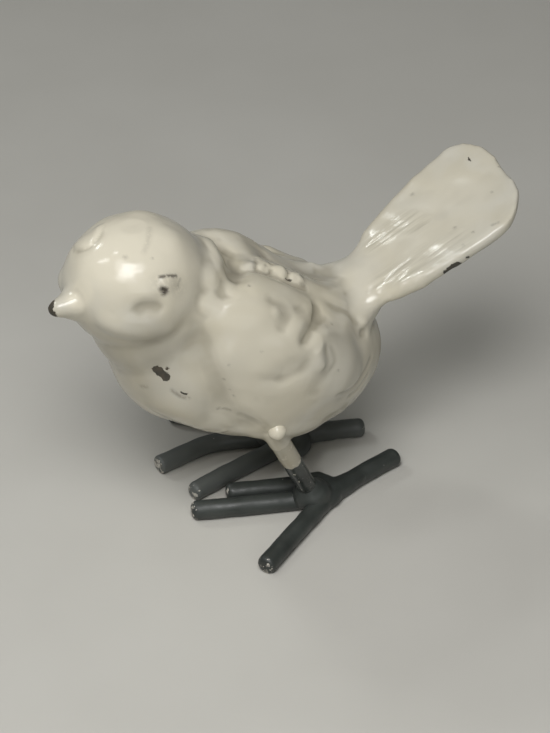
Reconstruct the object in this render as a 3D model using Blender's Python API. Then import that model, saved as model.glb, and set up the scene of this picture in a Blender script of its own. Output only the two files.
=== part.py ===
"""Cast iron songbird figurine: one enamelled casting standing on two welded steel-rod feet.

The bird faces -Y with its left side at +X, and stands on z = 0. Sizes below are millimetres
and angles are degrees. "Ahead" runs towards the beak, "out" runs sideways from the middle.
"""

import math

import bmesh
import bpy
from mathutils import Matrix, Vector

MM = 0.001

# Torso: an egg tipped up towards the breast
TORSO_LENGTH = 76.0
TORSO_WIDTH = 50.0
TORSO_HEIGHT = 51.0
TORSO_TIP_UP = 20.0
TORSO_AHEAD = 17.9
BELLY_CLEARANCE = 25.0

# Breast, throat, neck and rump lumps, placed from the torso's middle
BREAST_DIAMETER = 45.0
BREAST_AHEAD = 17.0
BREAST_RISE = 6.0
THROAT_DIAMETER = 35.0
THROAT_AHEAD = 27.0
THROAT_RISE = 18.0
NECK_DIAMETER = 33.0
NECK_AHEAD = 20.0
NECK_RISE = 20.5
RUMP_LENGTH = 46.0
RUMP_WIDTH = 28.0
RUMP_HEIGHT = 15.0
RUMP_BACK = 20.0
RUMP_RISE = 2.6
RUMP_SLOPE = 33.0

# Head, placed from the torso's middle
HEAD_LENGTH = 38.5
HEAD_WIDTH = 36.5
HEAD_HEIGHT = 34.5
HEAD_AHEAD = 31.5
HEAD_RISE = 29.0
HEAD_TURN = 12.0

# Beak: a short blunt cone, placed from the head's middle
BEAK_REACH = 26.2
BEAK_BASE_DIAMETER = 18.0
BEAK_TIP_DIAMETER = 4.4
BEAK_BASE_INSET = 10.0
BEAK_BASE_DROP = 1.0
BEAK_TIP_RISE = 0.4

# Folded wings and thighs, alike on both sides, placed from the torso's middle
WING_LENGTH = 47.0
WING_DEPTH = 30.0
WING_THICKNESS = 15.0
WING_OUT = 18.5
WING_BACK = 2.0
WING_RISE = 5.0
WING_SLOPE = 24.0
SHOULDER_LENGTH = 34.0
SHOULDER_WIDTH = 22.0
SHOULDER_AHEAD = 5.0
SHOULDER_OUT = 11.0
SHOULDER_RISE = 17.5
THIGH_LENGTH = 34.0
THIGH_WIDTH = 20.0
THIGH_OUT = 13.0
THIGH_AHEAD = -1.0
THIGH_DROP = 11.5

# Tail: a thick paddle that rises from the rump, placed from the torso's middle
TAIL_ROOT_BACK = 20.0
TAIL_ROOT_RISE = 5.6
TAIL_LENGTH = 62.4
TAIL_ROOT_WIDTH = 11.5
TAIL_FULL_WIDTH = 39.2
TAIL_TIP_WIDTH = 22.0
TAIL_TIP_RUN = 9.0
TAIL_THICKNESS = 4.6
TAIL_ROOT_SLOPE = 36.0
TAIL_TIP_SLOPE = 30.0
TAIL_DISH = 1.4
TAIL_ROOT_LEFT = 1.0
TAIL_SWING_RIGHT = 3.2

# Rods and welds
ROD_DIAMETER = 5.4
ROD_END_ROUNDING = 0.6
STANDING_FLAT = 0.3
HUB_SPREAD = 29.6
LEG_AHEAD_OF_HUB = 4.5
LEG_INWARD_OF_HUB = 1.0
LEG_LEAN_AHEAD = 24.0
LEG_LEAN_OUT = 10.0
LEG_SOCKET_DEPTH = 6.0
FOOT_WELD_LENGTH = 12.0
FOOT_WELD_WIDTH = 16.0
FOOT_WELD_HEIGHT = 6.4
FOOT_WELD_AHEAD = 1.0
FOOT_WELD_INWARD = 3.0
LEG_COLLAR_DIAMETER = 7.8
LEG_COLLAR_RISE = 3.6
BEAD_DIAMETER = 4.4
BEAD_AHEAD = 1.8
BEAD_OUT = 3.4
BEAD_RISE = 6.5
SEAT_GAP = 0.3

# Toes: heading is turned outwards from straight ahead, reach and start run from the hub along the toe.
# Each toe butts against the ones named before it.
LEFT_TOES = {
    "outer": {"heading": 37.3, "start": -1.2, "reach": 34.8, "inward": 0.8},
    "middle": {"heading": -12.6, "start": 2.0, "reach": 38.8},
    "inner": {"heading": -12.0, "start": 1.5, "reach": 27.0, "inward": 6.4},
    "rear": {"heading": 199.0, "start": 3.0, "reach": 25.2, "inward": 1.4},
}
RIGHT_TOES = {
    "middle": {"heading": 12.3, "start": -2.0, "reach": 42.2, "inward": 0.6, "bend_at": 23.5, "bend": -26.0},
    "outer": {"heading": 34.0, "start": 0.0, "reach": 35.5, "inward": -1.7},
    "inner": {"heading": -17.0, "start": -1.0, "reach": 36.8, "inward": 3.4},
    "rear": {"heading": 193.0, "start": 4.6, "reach": 20.8, "inward": 0.6},
}

# Relief of the casting, from the torso's middle as (ahead, out, up): the path, half width and height of
# each stroke that is worked into the skin
WING_RELIEF = {
    "covert band": {
        "path": ((1.6, 8.7, 24.9), (-6.6, 11.9, 21.3), (-11.5, 15.0, 17.5)),
        "reach": 5.0,
        "height": 1.3,
    },
    "covert hollow": {"path": ((-13.5, 15.5, 16.0), (-7.5, 22.5, 15.5)), "reach": 4.5, "height": -1.3},
    "bow hollow": {"path": ((1.0, 25.8, 8.2), (-3.5, 25.5, 9.4)), "reach": 5.0, "height": -1.0},
    "first quill": {"path": ((-9.0, 22.5, 15.0), (-10.4, 25.1, 7.1)), "reach": 3.2, "height": 1.2},
    "quill hollow": {"path": ((-12.9, 23.6, 10.6), (-13.7, 24.6, 5.2)), "reach": 3.6, "height": -1.0},
    "second quill": {
        "path": ((-21.2, 14.5, 11.0), (-20.4, 21.3, 6.8), (-15.7, 23.6, -4.2)),
        "reach": 3.6,
        "height": 1.0,
    },
    "leading edge": {
        "path": ((21.5, 18.5, 17.0), (18.8, 22.0, 8.5), (16.3, 22.5, 0.5), (10.5, 22.0, -9.0)),
        "reach": 6.0,
        "height": -1.1,
    },
    "neck tuft": {"path": ((11.9, 4.7, 27.5), (15.7, 11.9, 25.5)), "reach": 3.6, "height": 1.2},
}

# The back, which is uneven: a hollow right of its middle and a row of beaded feathers just left of it,
# from the torso's middle as above
BACK_HOLLOW = ((-8.5, -9.0, 22.6), (-13.0, -4.0, 21.6), (-19.0, -2.0, 18.6))
BACK_HOLLOW_REACH = 10.0
BACK_HOLLOW_DEPTH = 3.0
BACK_BEADS = ((0.6, 1.6, 26.3), (-3.1, 2.4, 25.6), (-6.9, 4.0, 24.3), (-10.6, 6.3, 22.3))
BACK_BEAD_REACH = 2.8
BACK_BEAD_HEIGHT = 1.2

# Relief of the face, from the head's middle in the same way
FACE_RELIEF = {
    "cheek hollow": {"path": ((7.5, 16.5, 3.6), (4.5, 17.0, 3.4)), "reach": 4.0, "height": -1.1},
    "jaw": {
        "path": ((15.4, 10.6, -0.8), (8.4, 15.8, -3.6), (2.0, 17.6, -4.2)),
        "reach": 4.5,
        "height": 1.0,
    },
    "eye": {"path": ((-0.4, 15.7, 8.5),), "reach": 3.4, "height": 0.7},
}

# Fineness of the surface
ROD_SIDES = 16
LUMP_SIDES = 40
BEAD_SIDES = 20
SKIN_GRAIN = 0.9
SKIN_SMOOTHING = 14
SKIN_KEPT_SHARE = 0.125
WELD_GRAIN = 0.5
WELD_SMOOTHING = 6
WELD_KEPT_SHARE = 0.22
SMOOTHING_STRENGTH = 0.5
SHARP_ANGLE = 40.0
TAIL_GRID = 2.4

# Paints
CREAM = (0.78, 0.71, 0.60, 1.0)
CREAM_ROUGHNESS = 0.18
BLACK = (0.012, 0.012, 0.012, 1.0)
BLACK_ROUGHNESS = 0.25


def at(ahead, left, up):
    """A point given in millimetres ahead, to the left and up, as a vector in metres."""
    return Vector((left, -ahead, up)) * MM


def clear_scene():
    """Takes away whatever the scene holds at the start."""
    for item in list(bpy.data.objects):
        bpy.data.objects.remove(item, do_unlink=True)


def finish(name, colour, roughness):
    """A plain glossy paint."""
    material = bpy.data.materials.new(name)
    material.use_nodes = True
    shader = material.node_tree.nodes["Principled BSDF"]
    shader.inputs["Base Color"].default_value = colour
    shader.inputs["Roughness"].default_value = roughness
    shader.inputs["Metallic"].default_value = 0.0
    return material


def as_object(bm, name, parent, material=None):
    """Makes the mesh an object below the parent, shaded smooth."""
    bmesh.ops.recalc_face_normals(bm, faces=bm.faces[:])
    mesh = bpy.data.meshes.new(name)
    bm.to_mesh(mesh)
    bm.free()
    mesh.shade_smooth()
    mesh.set_sharp_from_angle(angle=math.radians(SHARP_ANGLE))
    item = bpy.data.objects.new(name, mesh)
    item.parent = parent
    bpy.context.scene.collection.objects.link(item)
    if material is not None:
        mesh.materials.append(material)
    return item


def as_cutter(item):
    """Keeps the object as a tool that only cuts others."""
    item.hide_render = True
    item.display_type = "WIRE"
    return item


def cut(item, *cutters):
    """Takes the volume of each cutter out of the object."""
    for cutter in cutters:
        step = item.modifiers.new("cut by " + cutter.name, "BOOLEAN")
        step.operation = "DIFFERENCE"
        step.solver = "EXACT"
        step.object = cutter


def add_ellipsoid(bm, middle, length, width, height, tip_up=0.0, turn=0.0, sides=LUMP_SIDES):
    """Adds an ellipsoid: its length runs ahead, tip_up lifts its front and turn swings it to the left."""
    place = (
        Matrix.Translation(middle)
        @ Matrix.Rotation(math.radians(turn), 4, "Z")
        @ Matrix.Rotation(math.radians(-tip_up), 4, "X")
        @ Matrix.Diagonal((width * MM / 2, length * MM / 2, height * MM / 2, 1.0))
    )
    bmesh.ops.create_uvsphere(bm, u_segments=sides, v_segments=sides // 2, radius=1.0, matrix=place)


def add_ball(bm, middle, diameter, sides=LUMP_SIDES):
    """Adds a ball."""
    add_ellipsoid(bm, middle, diameter, diameter, diameter, sides=sides)


def from_torso(ahead, left, up):
    """A point placed from the torso's middle."""
    return at(TORSO_AHEAD + ahead, left, BELLY_CLEARANCE + TORSO_HEIGHT / 2 + up)


def add_torso(bm):
    """Adds the torso with its breast, throat, neck and rump."""
    add_ellipsoid(bm, from_torso(0, 0, 0), TORSO_LENGTH, TORSO_WIDTH, TORSO_HEIGHT, TORSO_TIP_UP)
    add_ball(bm, from_torso(BREAST_AHEAD, 0, BREAST_RISE), BREAST_DIAMETER)
    add_ball(bm, from_torso(THROAT_AHEAD, 0, THROAT_RISE), THROAT_DIAMETER)
    add_ball(bm, from_torso(NECK_AHEAD, 0, NECK_RISE), NECK_DIAMETER)
    rump = from_torso(-RUMP_BACK, 0, RUMP_RISE)
    add_ellipsoid(bm, rump, RUMP_LENGTH, RUMP_WIDTH, RUMP_HEIGHT, -RUMP_SLOPE)


def add_head(bm):
    """Adds the head and its beak, turned a little to the left."""
    turned = Matrix.Rotation(math.radians(HEAD_TURN), 4, "Z")
    place = Matrix.Translation(from_torso(HEAD_AHEAD, 0, HEAD_RISE)) @ turned
    add_ellipsoid(bm, place.translation, HEAD_LENGTH, HEAD_WIDTH, HEAD_HEIGHT, turn=HEAD_TURN)
    base = at(BEAK_BASE_INSET, 0, -BEAK_BASE_DROP)
    tip = at(BEAK_REACH - BEAK_TIP_DIAMETER / 2, 0, BEAK_TIP_RISE)
    along = tip - base
    lie = Matrix.Translation((base + tip) / 2) @ along.to_track_quat("Z", "Y").to_matrix().to_4x4()
    bmesh.ops.create_cone(
        bm,
        cap_ends=True,
        segments=LUMP_SIDES,
        radius1=BEAK_BASE_DIAMETER * MM / 2,
        radius2=BEAK_TIP_DIAMETER * MM / 2,
        depth=along.length,
        matrix=place @ lie,
    )
    add_ball(bm, place @ tip, BEAK_TIP_DIAMETER)


def add_wings(bm):
    """Adds the folded wings, their shoulders and the thighs."""
    for side in (1, -1):
        wing = from_torso(-WING_BACK, side * WING_OUT, WING_RISE)
        add_ellipsoid(bm, wing, WING_LENGTH, WING_THICKNESS, WING_DEPTH, WING_SLOPE)
        shoulder = from_torso(SHOULDER_AHEAD, side * SHOULDER_OUT, SHOULDER_RISE)
        add_ellipsoid(bm, shoulder, SHOULDER_LENGTH, SHOULDER_WIDTH, SHOULDER_WIDTH, WING_SLOPE)
        thigh = from_torso(THIGH_AHEAD, side * THIGH_OUT, -THIGH_DROP)
        add_ellipsoid(bm, thigh, THIGH_LENGTH, THIGH_WIDTH, THIGH_WIDTH, TORSO_TIP_UP)


def tail_half_width(run):
    """Half the tail's width at a run from its root: it swells to the full width, then its end is cut in."""
    to_full = TAIL_LENGTH - TAIL_TIP_RUN
    if run < to_full:
        swell = math.sin(run / to_full * math.pi / 2)
        return (TAIL_ROOT_WIDTH + (TAIL_FULL_WIDTH - TAIL_ROOT_WIDTH) * swell) / 2
    past = (run - to_full) / TAIL_TIP_RUN
    return (TAIL_FULL_WIDTH + (TAIL_TIP_WIDTH - TAIL_FULL_WIDTH) * past**2) / 2


def add_tail(bm):
    """Adds the tail: a flat grid shaped to the paddle, bent along its slope, dished and thickened."""
    columns = math.ceil(TAIL_FULL_WIDTH / TAIL_GRID)
    rows = math.ceil(TAIL_LENGTH / TAIL_GRID)
    grid = bmesh.ops.create_grid(bm, x_segments=columns, y_segments=rows, size=1.0)["verts"]
    for vert in grid:
        across = vert.co.x
        run = TAIL_LENGTH * (vert.co.y + 1) / 2
        share = run / TAIL_LENGTH
        slope = math.radians(TAIL_ROOT_SLOPE + (TAIL_TIP_SLOPE - TAIL_ROOT_SLOPE) * share)
        dish = TAIL_DISH * share * across**2
        back = TAIL_ROOT_BACK + run * math.cos(slope) - dish * math.sin(slope)
        rise = TAIL_ROOT_RISE + run * math.sin(slope) + dish * math.cos(slope)
        middle = TAIL_ROOT_LEFT - TAIL_SWING_RIGHT * share**2
        vert.co = from_torso(-back, middle + across * tail_half_width(run), rise)
    faces = list({face for vert in grid for face in vert.link_faces})
    bmesh.ops.solidify(bm, geom=faces, thickness=TAIL_THICKNESS * MM)


def fuse(item, grain, smoothing):
    """Makes the object's joined lumps one smooth skin."""
    skin = item.modifiers.new("fuse", "REMESH")
    skin.mode = "VOXEL"
    skin.voxel_size = grain * MM
    soften = item.modifiers.new("soften", "SMOOTH")
    soften.factor = SMOOTHING_STRENGTH
    soften.iterations = smoothing


def thin_facets(item, kept_share):
    """Drops facets where the skin is flat."""
    thin = item.modifiers.new("thin facets", "DECIMATE")
    thin.ratio = kept_share


def evaluated_mesh(item):
    """A new mesh of the object with its modifiers worked in."""
    bpy.context.view_layer.update()
    graph = bpy.context.evaluated_depsgraph_get()
    return bpy.data.meshes.new_from_object(item.evaluated_get(graph))


def nearest_on_path(point, path):
    """The point of a path of straight runs that lies nearest to the given point."""
    found = [path[0]]
    for start, end in zip(path, path[1:]):
        run = end - start
        share = max(0.0, min(1.0, (point - start).dot(run) / run.length_squared))
        found.append(start + run * share)
    return min(found, key=lambda spot: (spot - point).length)


def press(bm, path, reach, height):
    """Raises, or with a negative height sinks, the skin along a path, fading to nothing at its reach."""
    moves = []
    for vert in bm.verts:
        share = (nearest_on_path(vert.co, path) - vert.co).length / (reach * MM)
        if share < 1.0:
            fade = (1.0 - share**2) ** 2
            moves.append((vert, vert.normal * (height * MM * fade)))
    for vert, move in moves:
        vert.co += move


def sculpt(bm):
    """Works the relief into the skin: feathers and face alike on both sides, and the uneven back."""
    turned = Matrix.Rotation(math.radians(HEAD_TURN), 4, "Z")
    head = Matrix.Translation(from_torso(HEAD_AHEAD, 0, HEAD_RISE)) @ turned
    for side in (1, -1):
        for stroke in WING_RELIEF.values():
            path = [from_torso(ahead, side * out, up) for ahead, out, up in stroke["path"]]
            press(bm, path, stroke["reach"], stroke["height"])
        for stroke in FACE_RELIEF.values():
            path = [head @ at(ahead, side * out, up) for ahead, out, up in stroke["path"]]
            press(bm, path, stroke["reach"], stroke["height"])
    hollow = [from_torso(*point) for point in BACK_HOLLOW]
    press(bm, hollow, BACK_HOLLOW_REACH, -BACK_HOLLOW_DEPTH)
    for bead in BACK_BEADS:
        press(bm, [from_torso(*bead)], BACK_BEAD_REACH, BACK_BEAD_HEIGHT)


def build_body(parent, enamel):
    """The casting: torso, head, wings and tail in one skin."""
    bm = bmesh.new()
    add_torso(bm)
    add_head(bm)
    add_wings(bm)
    add_tail(bm)
    body = as_object(bm, "body_casting", parent, enamel)
    fuse(body, SKIN_GRAIN, SKIN_SMOOTHING)
    skin = evaluated_mesh(body)
    bm = bmesh.new()
    bm.from_mesh(skin)
    bm.normal_update()
    sculpt(bm)
    bm.to_mesh(skin)
    bm.free()
    skin.shade_smooth()
    body.modifiers.clear()
    body.data = skin
    thin_facets(body, SKIN_KEPT_SHARE)
    return body


def swollen_copy(body, parent):
    """A cutter that follows the casting at the seat gap outside it."""
    swollen = bpy.data.objects.new("casting with its gap", evaluated_mesh(body))
    swollen.parent = parent
    bpy.context.scene.collection.objects.link(swollen)
    swell = swollen.modifiers.new("seat gap", "DISPLACE")
    swell.strength = SEAT_GAP * MM
    swell.mid_level = 0.0
    return as_cutter(swollen)


def add_rod(bm, path, diameter):
    """Adds a round rod along a path, with mitred bends and a facet turned straight down."""
    rings = []
    for index, point in enumerate(path):
        before = path[max(index - 1, 0)]
        after = path[min(index + 1, len(path) - 1)]
        along = (after - before).normalized()
        lie = along.to_track_quat("Z", "Y").to_matrix().to_4x4()
        half_facet = Matrix.Rotation(math.pi / ROD_SIDES, 4, "Z")
        ring = bmesh.ops.create_circle(
            bm,
            cap_ends=index in (0, len(path) - 1),
            segments=ROD_SIDES,
            radius=diameter * MM / 2,
            matrix=Matrix.Translation(point) @ lie @ half_facet,
        )["verts"]
        rings.append(ring)
    for first, second in zip(rings, rings[1:]):
        pair = set(first) | set(second)
        loops = [edge for edge in bm.edges if set(edge.verts) <= pair and len(edge.link_faces) < 2]
        loops = [edge for edge in loops if {edge.verts[0] in first, edge.verts[1] in first} != {True, False}]
        bmesh.ops.bridge_loops(bm, edges=loops)
    bmesh.ops.recalc_face_normals(bm, faces=bm.faces[:])


def round_ends(bm):
    """Rounds the rims of a rod's two ends."""
    caps = [face for face in bm.faces if len(face.verts) == ROD_SIDES]
    rims = list({edge for face in caps for edge in face.edges})
    bmesh.ops.bevel(
        bm,
        geom=rims,
        offset=ROD_END_ROUNDING * MM,
        offset_type="OFFSET",
        segments=2,
        profile=0.5,
        affect="EDGES",
        material=-1,
    )


def flatten_below(bm, height):
    """Cuts off what lies below a height and closes the cut."""
    everything = bm.verts[:] + bm.edges[:] + bm.faces[:]
    cut_edges = bmesh.ops.bisect_plane(
        bm, geom=everything, plane_co=(0, 0, height * MM), plane_no=(0, 0, 1), clear_inner=True
    )["geom_cut"]
    rim = [item for item in cut_edges if isinstance(item, bmesh.types.BMEdge)]
    bmesh.ops.holes_fill(bm, edges=rim)


def build_rod(name, path, parent, paint, standing):
    """A painted rod and the cutter that makes room for it; a standing rod is ground flat underneath."""
    bm = bmesh.new()
    add_rod(bm, path, ROD_DIAMETER)
    round_ends(bm)
    if standing:
        flatten_below(bm, 0.0)
    rod = as_object(bm, name, parent, paint)
    bm = bmesh.new()
    first = path[0] - (path[1] - path[0]).normalized() * SEAT_GAP * MM
    last = path[-1] + (path[-1] - path[-2]).normalized() * SEAT_GAP * MM
    add_rod(bm, [first, *path[1:-1], last], ROD_DIAMETER + 2 * SEAT_GAP)
    room = as_cutter(as_object(bm, "room for " + name, parent))
    return rod, room


def toe_axis_height():
    """How high a toe's axis lies when its ground flat touches the floor."""
    return ROD_DIAMETER / 2 - STANDING_FLAT


def hub_of(side):
    """The middle of a foot, at the height of the toes' axes."""
    return at(0, side * HUB_SPREAD / 2, toe_axis_height())


def toe_path(side, heading, start, reach, inward=0.0, bend_at=None, bend=0.0):
    """The axis of a toe, from its root in the weld to its tip."""
    def towards(angle):
        return at(math.cos(math.radians(angle)), side * math.sin(math.radians(angle)), 0)

    hub = hub_of(side) + at(0, -side * inward, 0)
    root = hub + towards(heading) * start
    if bend_at is None:
        return [root, hub + towards(heading) * reach]
    elbow = hub + towards(heading) * bend_at
    return [root, elbow, elbow + towards(heading + bend) * (reach - bend_at)]


def leg_path(side, body):
    """The axis of a leg, from its foot up into its socket in the belly, and where it enters the belly."""
    foot = hub_of(side) + at(LEG_AHEAD_OF_HUB, -side * LEG_INWARD_OF_HUB, 0)
    lean_ahead = math.tan(math.radians(LEG_LEAN_AHEAD))
    lean_out = math.tan(math.radians(LEG_LEAN_OUT))
    upwards = at(lean_ahead, side * lean_out, 1).normalized()
    entry = body.evaluated_get(bpy.context.evaluated_depsgraph_get()).ray_cast(foot, upwards)[1]
    return [foot, entry + upwards * LEG_SOCKET_DEPTH * MM], entry


def build_foot_weld(name, side, leg, parent, paint, rooms):
    """The lump of weld that joins a foot's toes to each other and to its leg."""
    bm = bmesh.new()
    middle = hub_of(side) + at(FOOT_WELD_AHEAD, -side * FOOT_WELD_INWARD, 0)
    add_ellipsoid(bm, middle, FOOT_WELD_LENGTH, FOOT_WELD_WIDTH, 2 * (FOOT_WELD_HEIGHT - toe_axis_height()))
    upwards = (leg[1] - leg[0]).normalized()
    add_ball(bm, leg[0] + upwards * LEG_COLLAR_RISE * MM, LEG_COLLAR_DIAMETER)
    weld = as_object(bm, name, parent, paint)
    fuse(weld, WELD_GRAIN, WELD_SMOOTHING)
    thin_facets(weld, WELD_KEPT_SHARE)
    skin = evaluated_mesh(weld)
    bm = bmesh.new()
    bm.from_mesh(skin)
    flatten_below(bm, toe_axis_height())
    bm.to_mesh(skin)
    bm.free()
    weld.modifiers.clear()
    weld.data = skin
    cut(weld, *rooms)
    return weld


def build_leg_bead(name, side, entry, body, parent, enamel, rooms):
    """The round bead of weld that fixes a leg in its socket, on the flank above the leg's outer side."""
    bm = bmesh.new()
    near = entry + at(BEAD_AHEAD, side * BEAD_OUT, BEAD_RISE)
    seat = body.evaluated_get(bpy.context.evaluated_depsgraph_get()).closest_point_on_mesh(near)[1]
    add_ball(bm, seat, BEAD_DIAMETER, BEAD_SIDES)
    bead = as_object(bm, name, parent, enamel)
    cut(bead, *rooms)
    return bead


def build_foot(side, word, toes, body, parent, paints):
    """One leg with its bead, four toes and weld. Returns the room that the leg takes in the belly."""
    enamel, black, swollen = paints
    rooms = {}
    rods = {}
    for toe, sizes in toes.items():
        path = toe_path(side, **sizes)
        rods[toe], rooms[toe] = build_rod(f"{word}_{toe}_toe", path, parent, black, True)
        cut(rods[toe], *[rooms[earlier] for earlier in rooms if earlier != toe])
    leg, entry = leg_path(side, body)
    leg_rod, leg_room = build_rod(f"{word}_leg", leg, parent, enamel, False)
    cut(leg_rod, *rooms.values())
    build_foot_weld(f"{word}_foot_weld", side, leg, parent, black, [*rooms.values(), leg_room])
    build_leg_bead(f"{word}_leg_bead", side, entry, body, parent, enamel, [swollen, leg_room])
    return leg_room


def stand_on_origin(bird):
    """Moves the whole bird so that the middle of its outline lies over the origin."""
    bpy.context.view_layer.update()
    graph = bpy.context.evaluated_depsgraph_get()
    corners = []
    for item in bpy.data.objects:
        if item.type == "MESH" and not item.hide_render:
            shape = item.evaluated_get(graph)
            corners.extend(shape.matrix_world @ vert.co for vert in shape.data.vertices)
    for axis in (0, 1):
        values = [corner[axis] for corner in corners]
        bird.location[axis] = -(min(values) + max(values)) / 2


def main():
    clear_scene()
    enamel = finish("cream enamel", CREAM, CREAM_ROUGHNESS)
    black = finish("black enamel", BLACK, BLACK_ROUGHNESS)
    bird = bpy.data.objects.new("bird", None)
    bpy.context.scene.collection.objects.link(bird)
    body = build_body(bird, enamel)
    bpy.context.view_layer.update()
    paints = enamel, black, swollen_copy(body, bird)
    left_room = build_foot(1, "left", LEFT_TOES, body, bird, paints)
    right_room = build_foot(-1, "right", RIGHT_TOES, body, bird, paints)
    cut(body, left_room, right_room)
    stand_on_origin(bird)
    return body


if __name__ == "__main__":
    main()
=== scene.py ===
"""Cast iron songbird in thick cream enamel, standing on welded feet of black steel rod.

The bird faces -Y with its left side at +X. Sizes are millimetres and angles are degrees, unless a
name says otherwise. Marks that the photograph shows are placed by its pixels, through its viewpoint.
"""

import logging
import math
from dataclasses import dataclass, field, replace
from enum import Enum
from typing import Sequence, TypeVar

import bmesh
import bpy
import numpy as np
from mathutils import Matrix, Vector, noise
from mathutils.bvhtree import BVHTree


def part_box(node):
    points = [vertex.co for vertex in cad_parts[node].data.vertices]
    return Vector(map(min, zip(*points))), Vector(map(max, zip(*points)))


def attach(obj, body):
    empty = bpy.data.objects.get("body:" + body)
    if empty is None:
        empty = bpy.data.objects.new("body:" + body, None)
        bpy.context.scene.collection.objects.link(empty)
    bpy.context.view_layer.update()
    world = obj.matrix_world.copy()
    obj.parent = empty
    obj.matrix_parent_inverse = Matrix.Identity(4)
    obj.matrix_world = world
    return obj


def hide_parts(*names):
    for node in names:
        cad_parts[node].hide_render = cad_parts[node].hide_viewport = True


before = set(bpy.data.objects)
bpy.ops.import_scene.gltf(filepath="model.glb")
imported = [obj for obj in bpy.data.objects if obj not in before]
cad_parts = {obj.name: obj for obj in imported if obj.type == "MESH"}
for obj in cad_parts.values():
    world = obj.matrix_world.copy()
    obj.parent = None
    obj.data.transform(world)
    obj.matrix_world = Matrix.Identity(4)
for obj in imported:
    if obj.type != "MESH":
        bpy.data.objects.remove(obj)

log = logging.getLogger("songbird")

Piece = bpy.types.Object
Mesh = bmesh.types.BMesh
Material = bpy.types.Material
Socket = bpy.types.NodeSocket
Pixel = tuple[float, float]
Pair = tuple[float, float]
Triple = tuple[float, float, float]
Colour = tuple[float, float, float, float]
Value = Socket | float | Colour

MM = 0.001
ROOT_BODY = "root"
MIDDLE_X = 0.677
HEAD_MIDDLE = (MIDDLE_X, -40.10, 79.5)
HEAD_TURN = 12.0
MERGE_GAP = 0.001
SKIN_MARGIN = 0.3
SOFTEN_ROUNDS = 60
FUSE_SHARE = 0.5
CURVE_STEPS = 6
UNCHIPPED = -1.0
# Painted light: how far the far foot's black is lifted to a lighter grey
FAR_FOOT_PAINTED_LIGHT = 0.85

# The stretch of a noise that a blend runs over
FULL = (0.0, 1.0)
SOFT_MIX = (0.35, 0.65)
WIDE_MIX = (0.3, 0.7)


class Side(Enum):
    """The bird's two sides, as the sign of X."""

    LEFT = 1
    RIGHT = -1

    @property
    def word(self) -> str:
        """The side's name as the solids use it."""
        return self.name.lower()


class Mark(Enum):
    """How a stroke changes the skin."""

    RIDGE = "raised along the path"
    LEDGE = "raised on the path's left and sunk on its right"


class Region(Enum):
    """Which plane a mark is mirrored in, if at all."""

    TORSO = "mirrored in the bird's middle plane"
    HEAD = "mirrored in the turned head's middle plane"
    ONE_SIDE = "only where the photograph shows it"


class Carried(Enum):
    """What a mesh carries at its vertices, by the names that its finish reads."""

    BARE = "bare"
    STAIN = "stain"
    # Painted light and painted shade, as paler and duller cream
    TINT = "tint"
    # Painted shade in recesses
    RECESS = "recess"
    BRUSHED = "brushed"
    HEIGHT = "height"
    WEAR = "wear"
    # Painted light on the far foot
    DUST = "dust"


class Slot(Enum):
    """The record's material slots."""

    CASTING = "casting_enamel"
    LEG = "leg_enamel"
    BLACK = "black_enamel"


class Sum(Enum):
    """What a node does with two values."""

    ADD = "ADD"
    SUBTRACT = "SUBTRACT"
    MULTIPLY = "MULTIPLY"
    MAXIMUM = "MAXIMUM"


class Detail(Enum):
    """How many finer layers a noise has."""

    PLAIN = 1.0
    SOFT = 2.0
    UNEVEN = 3.0
    FINE = 4.0


def towards(azimuth: float, elevation: float) -> Vector:
    """A direction away from the bird.

    Args:
        azimuth: turned from the bird's front to its left.
        elevation: above the floor.

    Returns:
        The direction, of length 1.
    """
    turn = math.radians(azimuth)
    rise = math.radians(elevation)
    return Vector((math.sin(turn) * math.cos(rise), -math.cos(turn) * math.cos(rise), math.sin(rise)))


@dataclass(frozen=True)
class PhotoView:
    """The photograph's viewpoint: makes the camera and turns pixels into rays."""

    azimuth: float = 68.5
    elevation: float = 38.0
    distance: float = 750.0
    pixel: float = 0.27
    width: int = 550
    height: int = 733
    sensor: float = 36.0
    nearest: float = 10.0
    target: Triple = (MIDDLE_X, -1.47, 40.13)

    def backwards(self) -> Vector:
        """The direction from the target to the camera."""
        return towards(self.azimuth, self.elevation)

    def place(self) -> Vector:
        """Where the camera stands, in metres."""
        return (Vector(self.target) + self.backwards() * self.distance) * MM

    def lie(self) -> Matrix:
        """The camera's rotation."""
        return (-self.backwards()).to_track_quat("-Z", "Y").to_matrix()

    def ray(self, pixel: Pixel) -> tuple[Vector, Vector]:
        """The line of sight through a pixel.

        Args:
            pixel: column and row in the photograph.

        Returns:
            The ray's start and its direction, in metres.
        """
        across = (pixel[0] - self.width / 2) * self.pixel
        down = (pixel[1] - self.height / 2) * self.pixel
        return self.place(), (self.lie() @ Vector((across, -down, -self.distance))).normalized()

    def add_camera(self) -> None:
        """Adds the camera and makes it the scene's own."""
        lens = bpy.data.cameras.new("photo_camera")
        lens.sensor_fit = "VERTICAL"
        lens.sensor_height = self.sensor
        lens.lens = self.sensor * self.distance / (self.height * self.pixel)
        lens.clip_start = self.nearest * MM
        camera = bpy.data.objects.new("photo_camera", lens)
        camera.location = self.place()
        camera.rotation_euler = self.lie().to_euler()
        bpy.context.scene.collection.objects.link(camera)
        bpy.context.scene.camera = camera


@dataclass(frozen=True)
class Specks:
    """Scattered round specks: their spacing if all were kept, the largest radius and the kept share."""

    spacing: float
    radius: float
    kept: float
    strength: float = 0.6
    edge: float = 0.02


@dataclass(frozen=True)
class BrushMarks:
    """Marks that a brush leaves along the bird: how far apart, how long and how deep they are."""

    spacing: float
    length: float
    depth: float

    def scale(self) -> np.ndarray:
        """What turns millimetres along X, Y and Z into marks."""
        return 1 / np.array((self.spacing, self.length, self.length))


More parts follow.
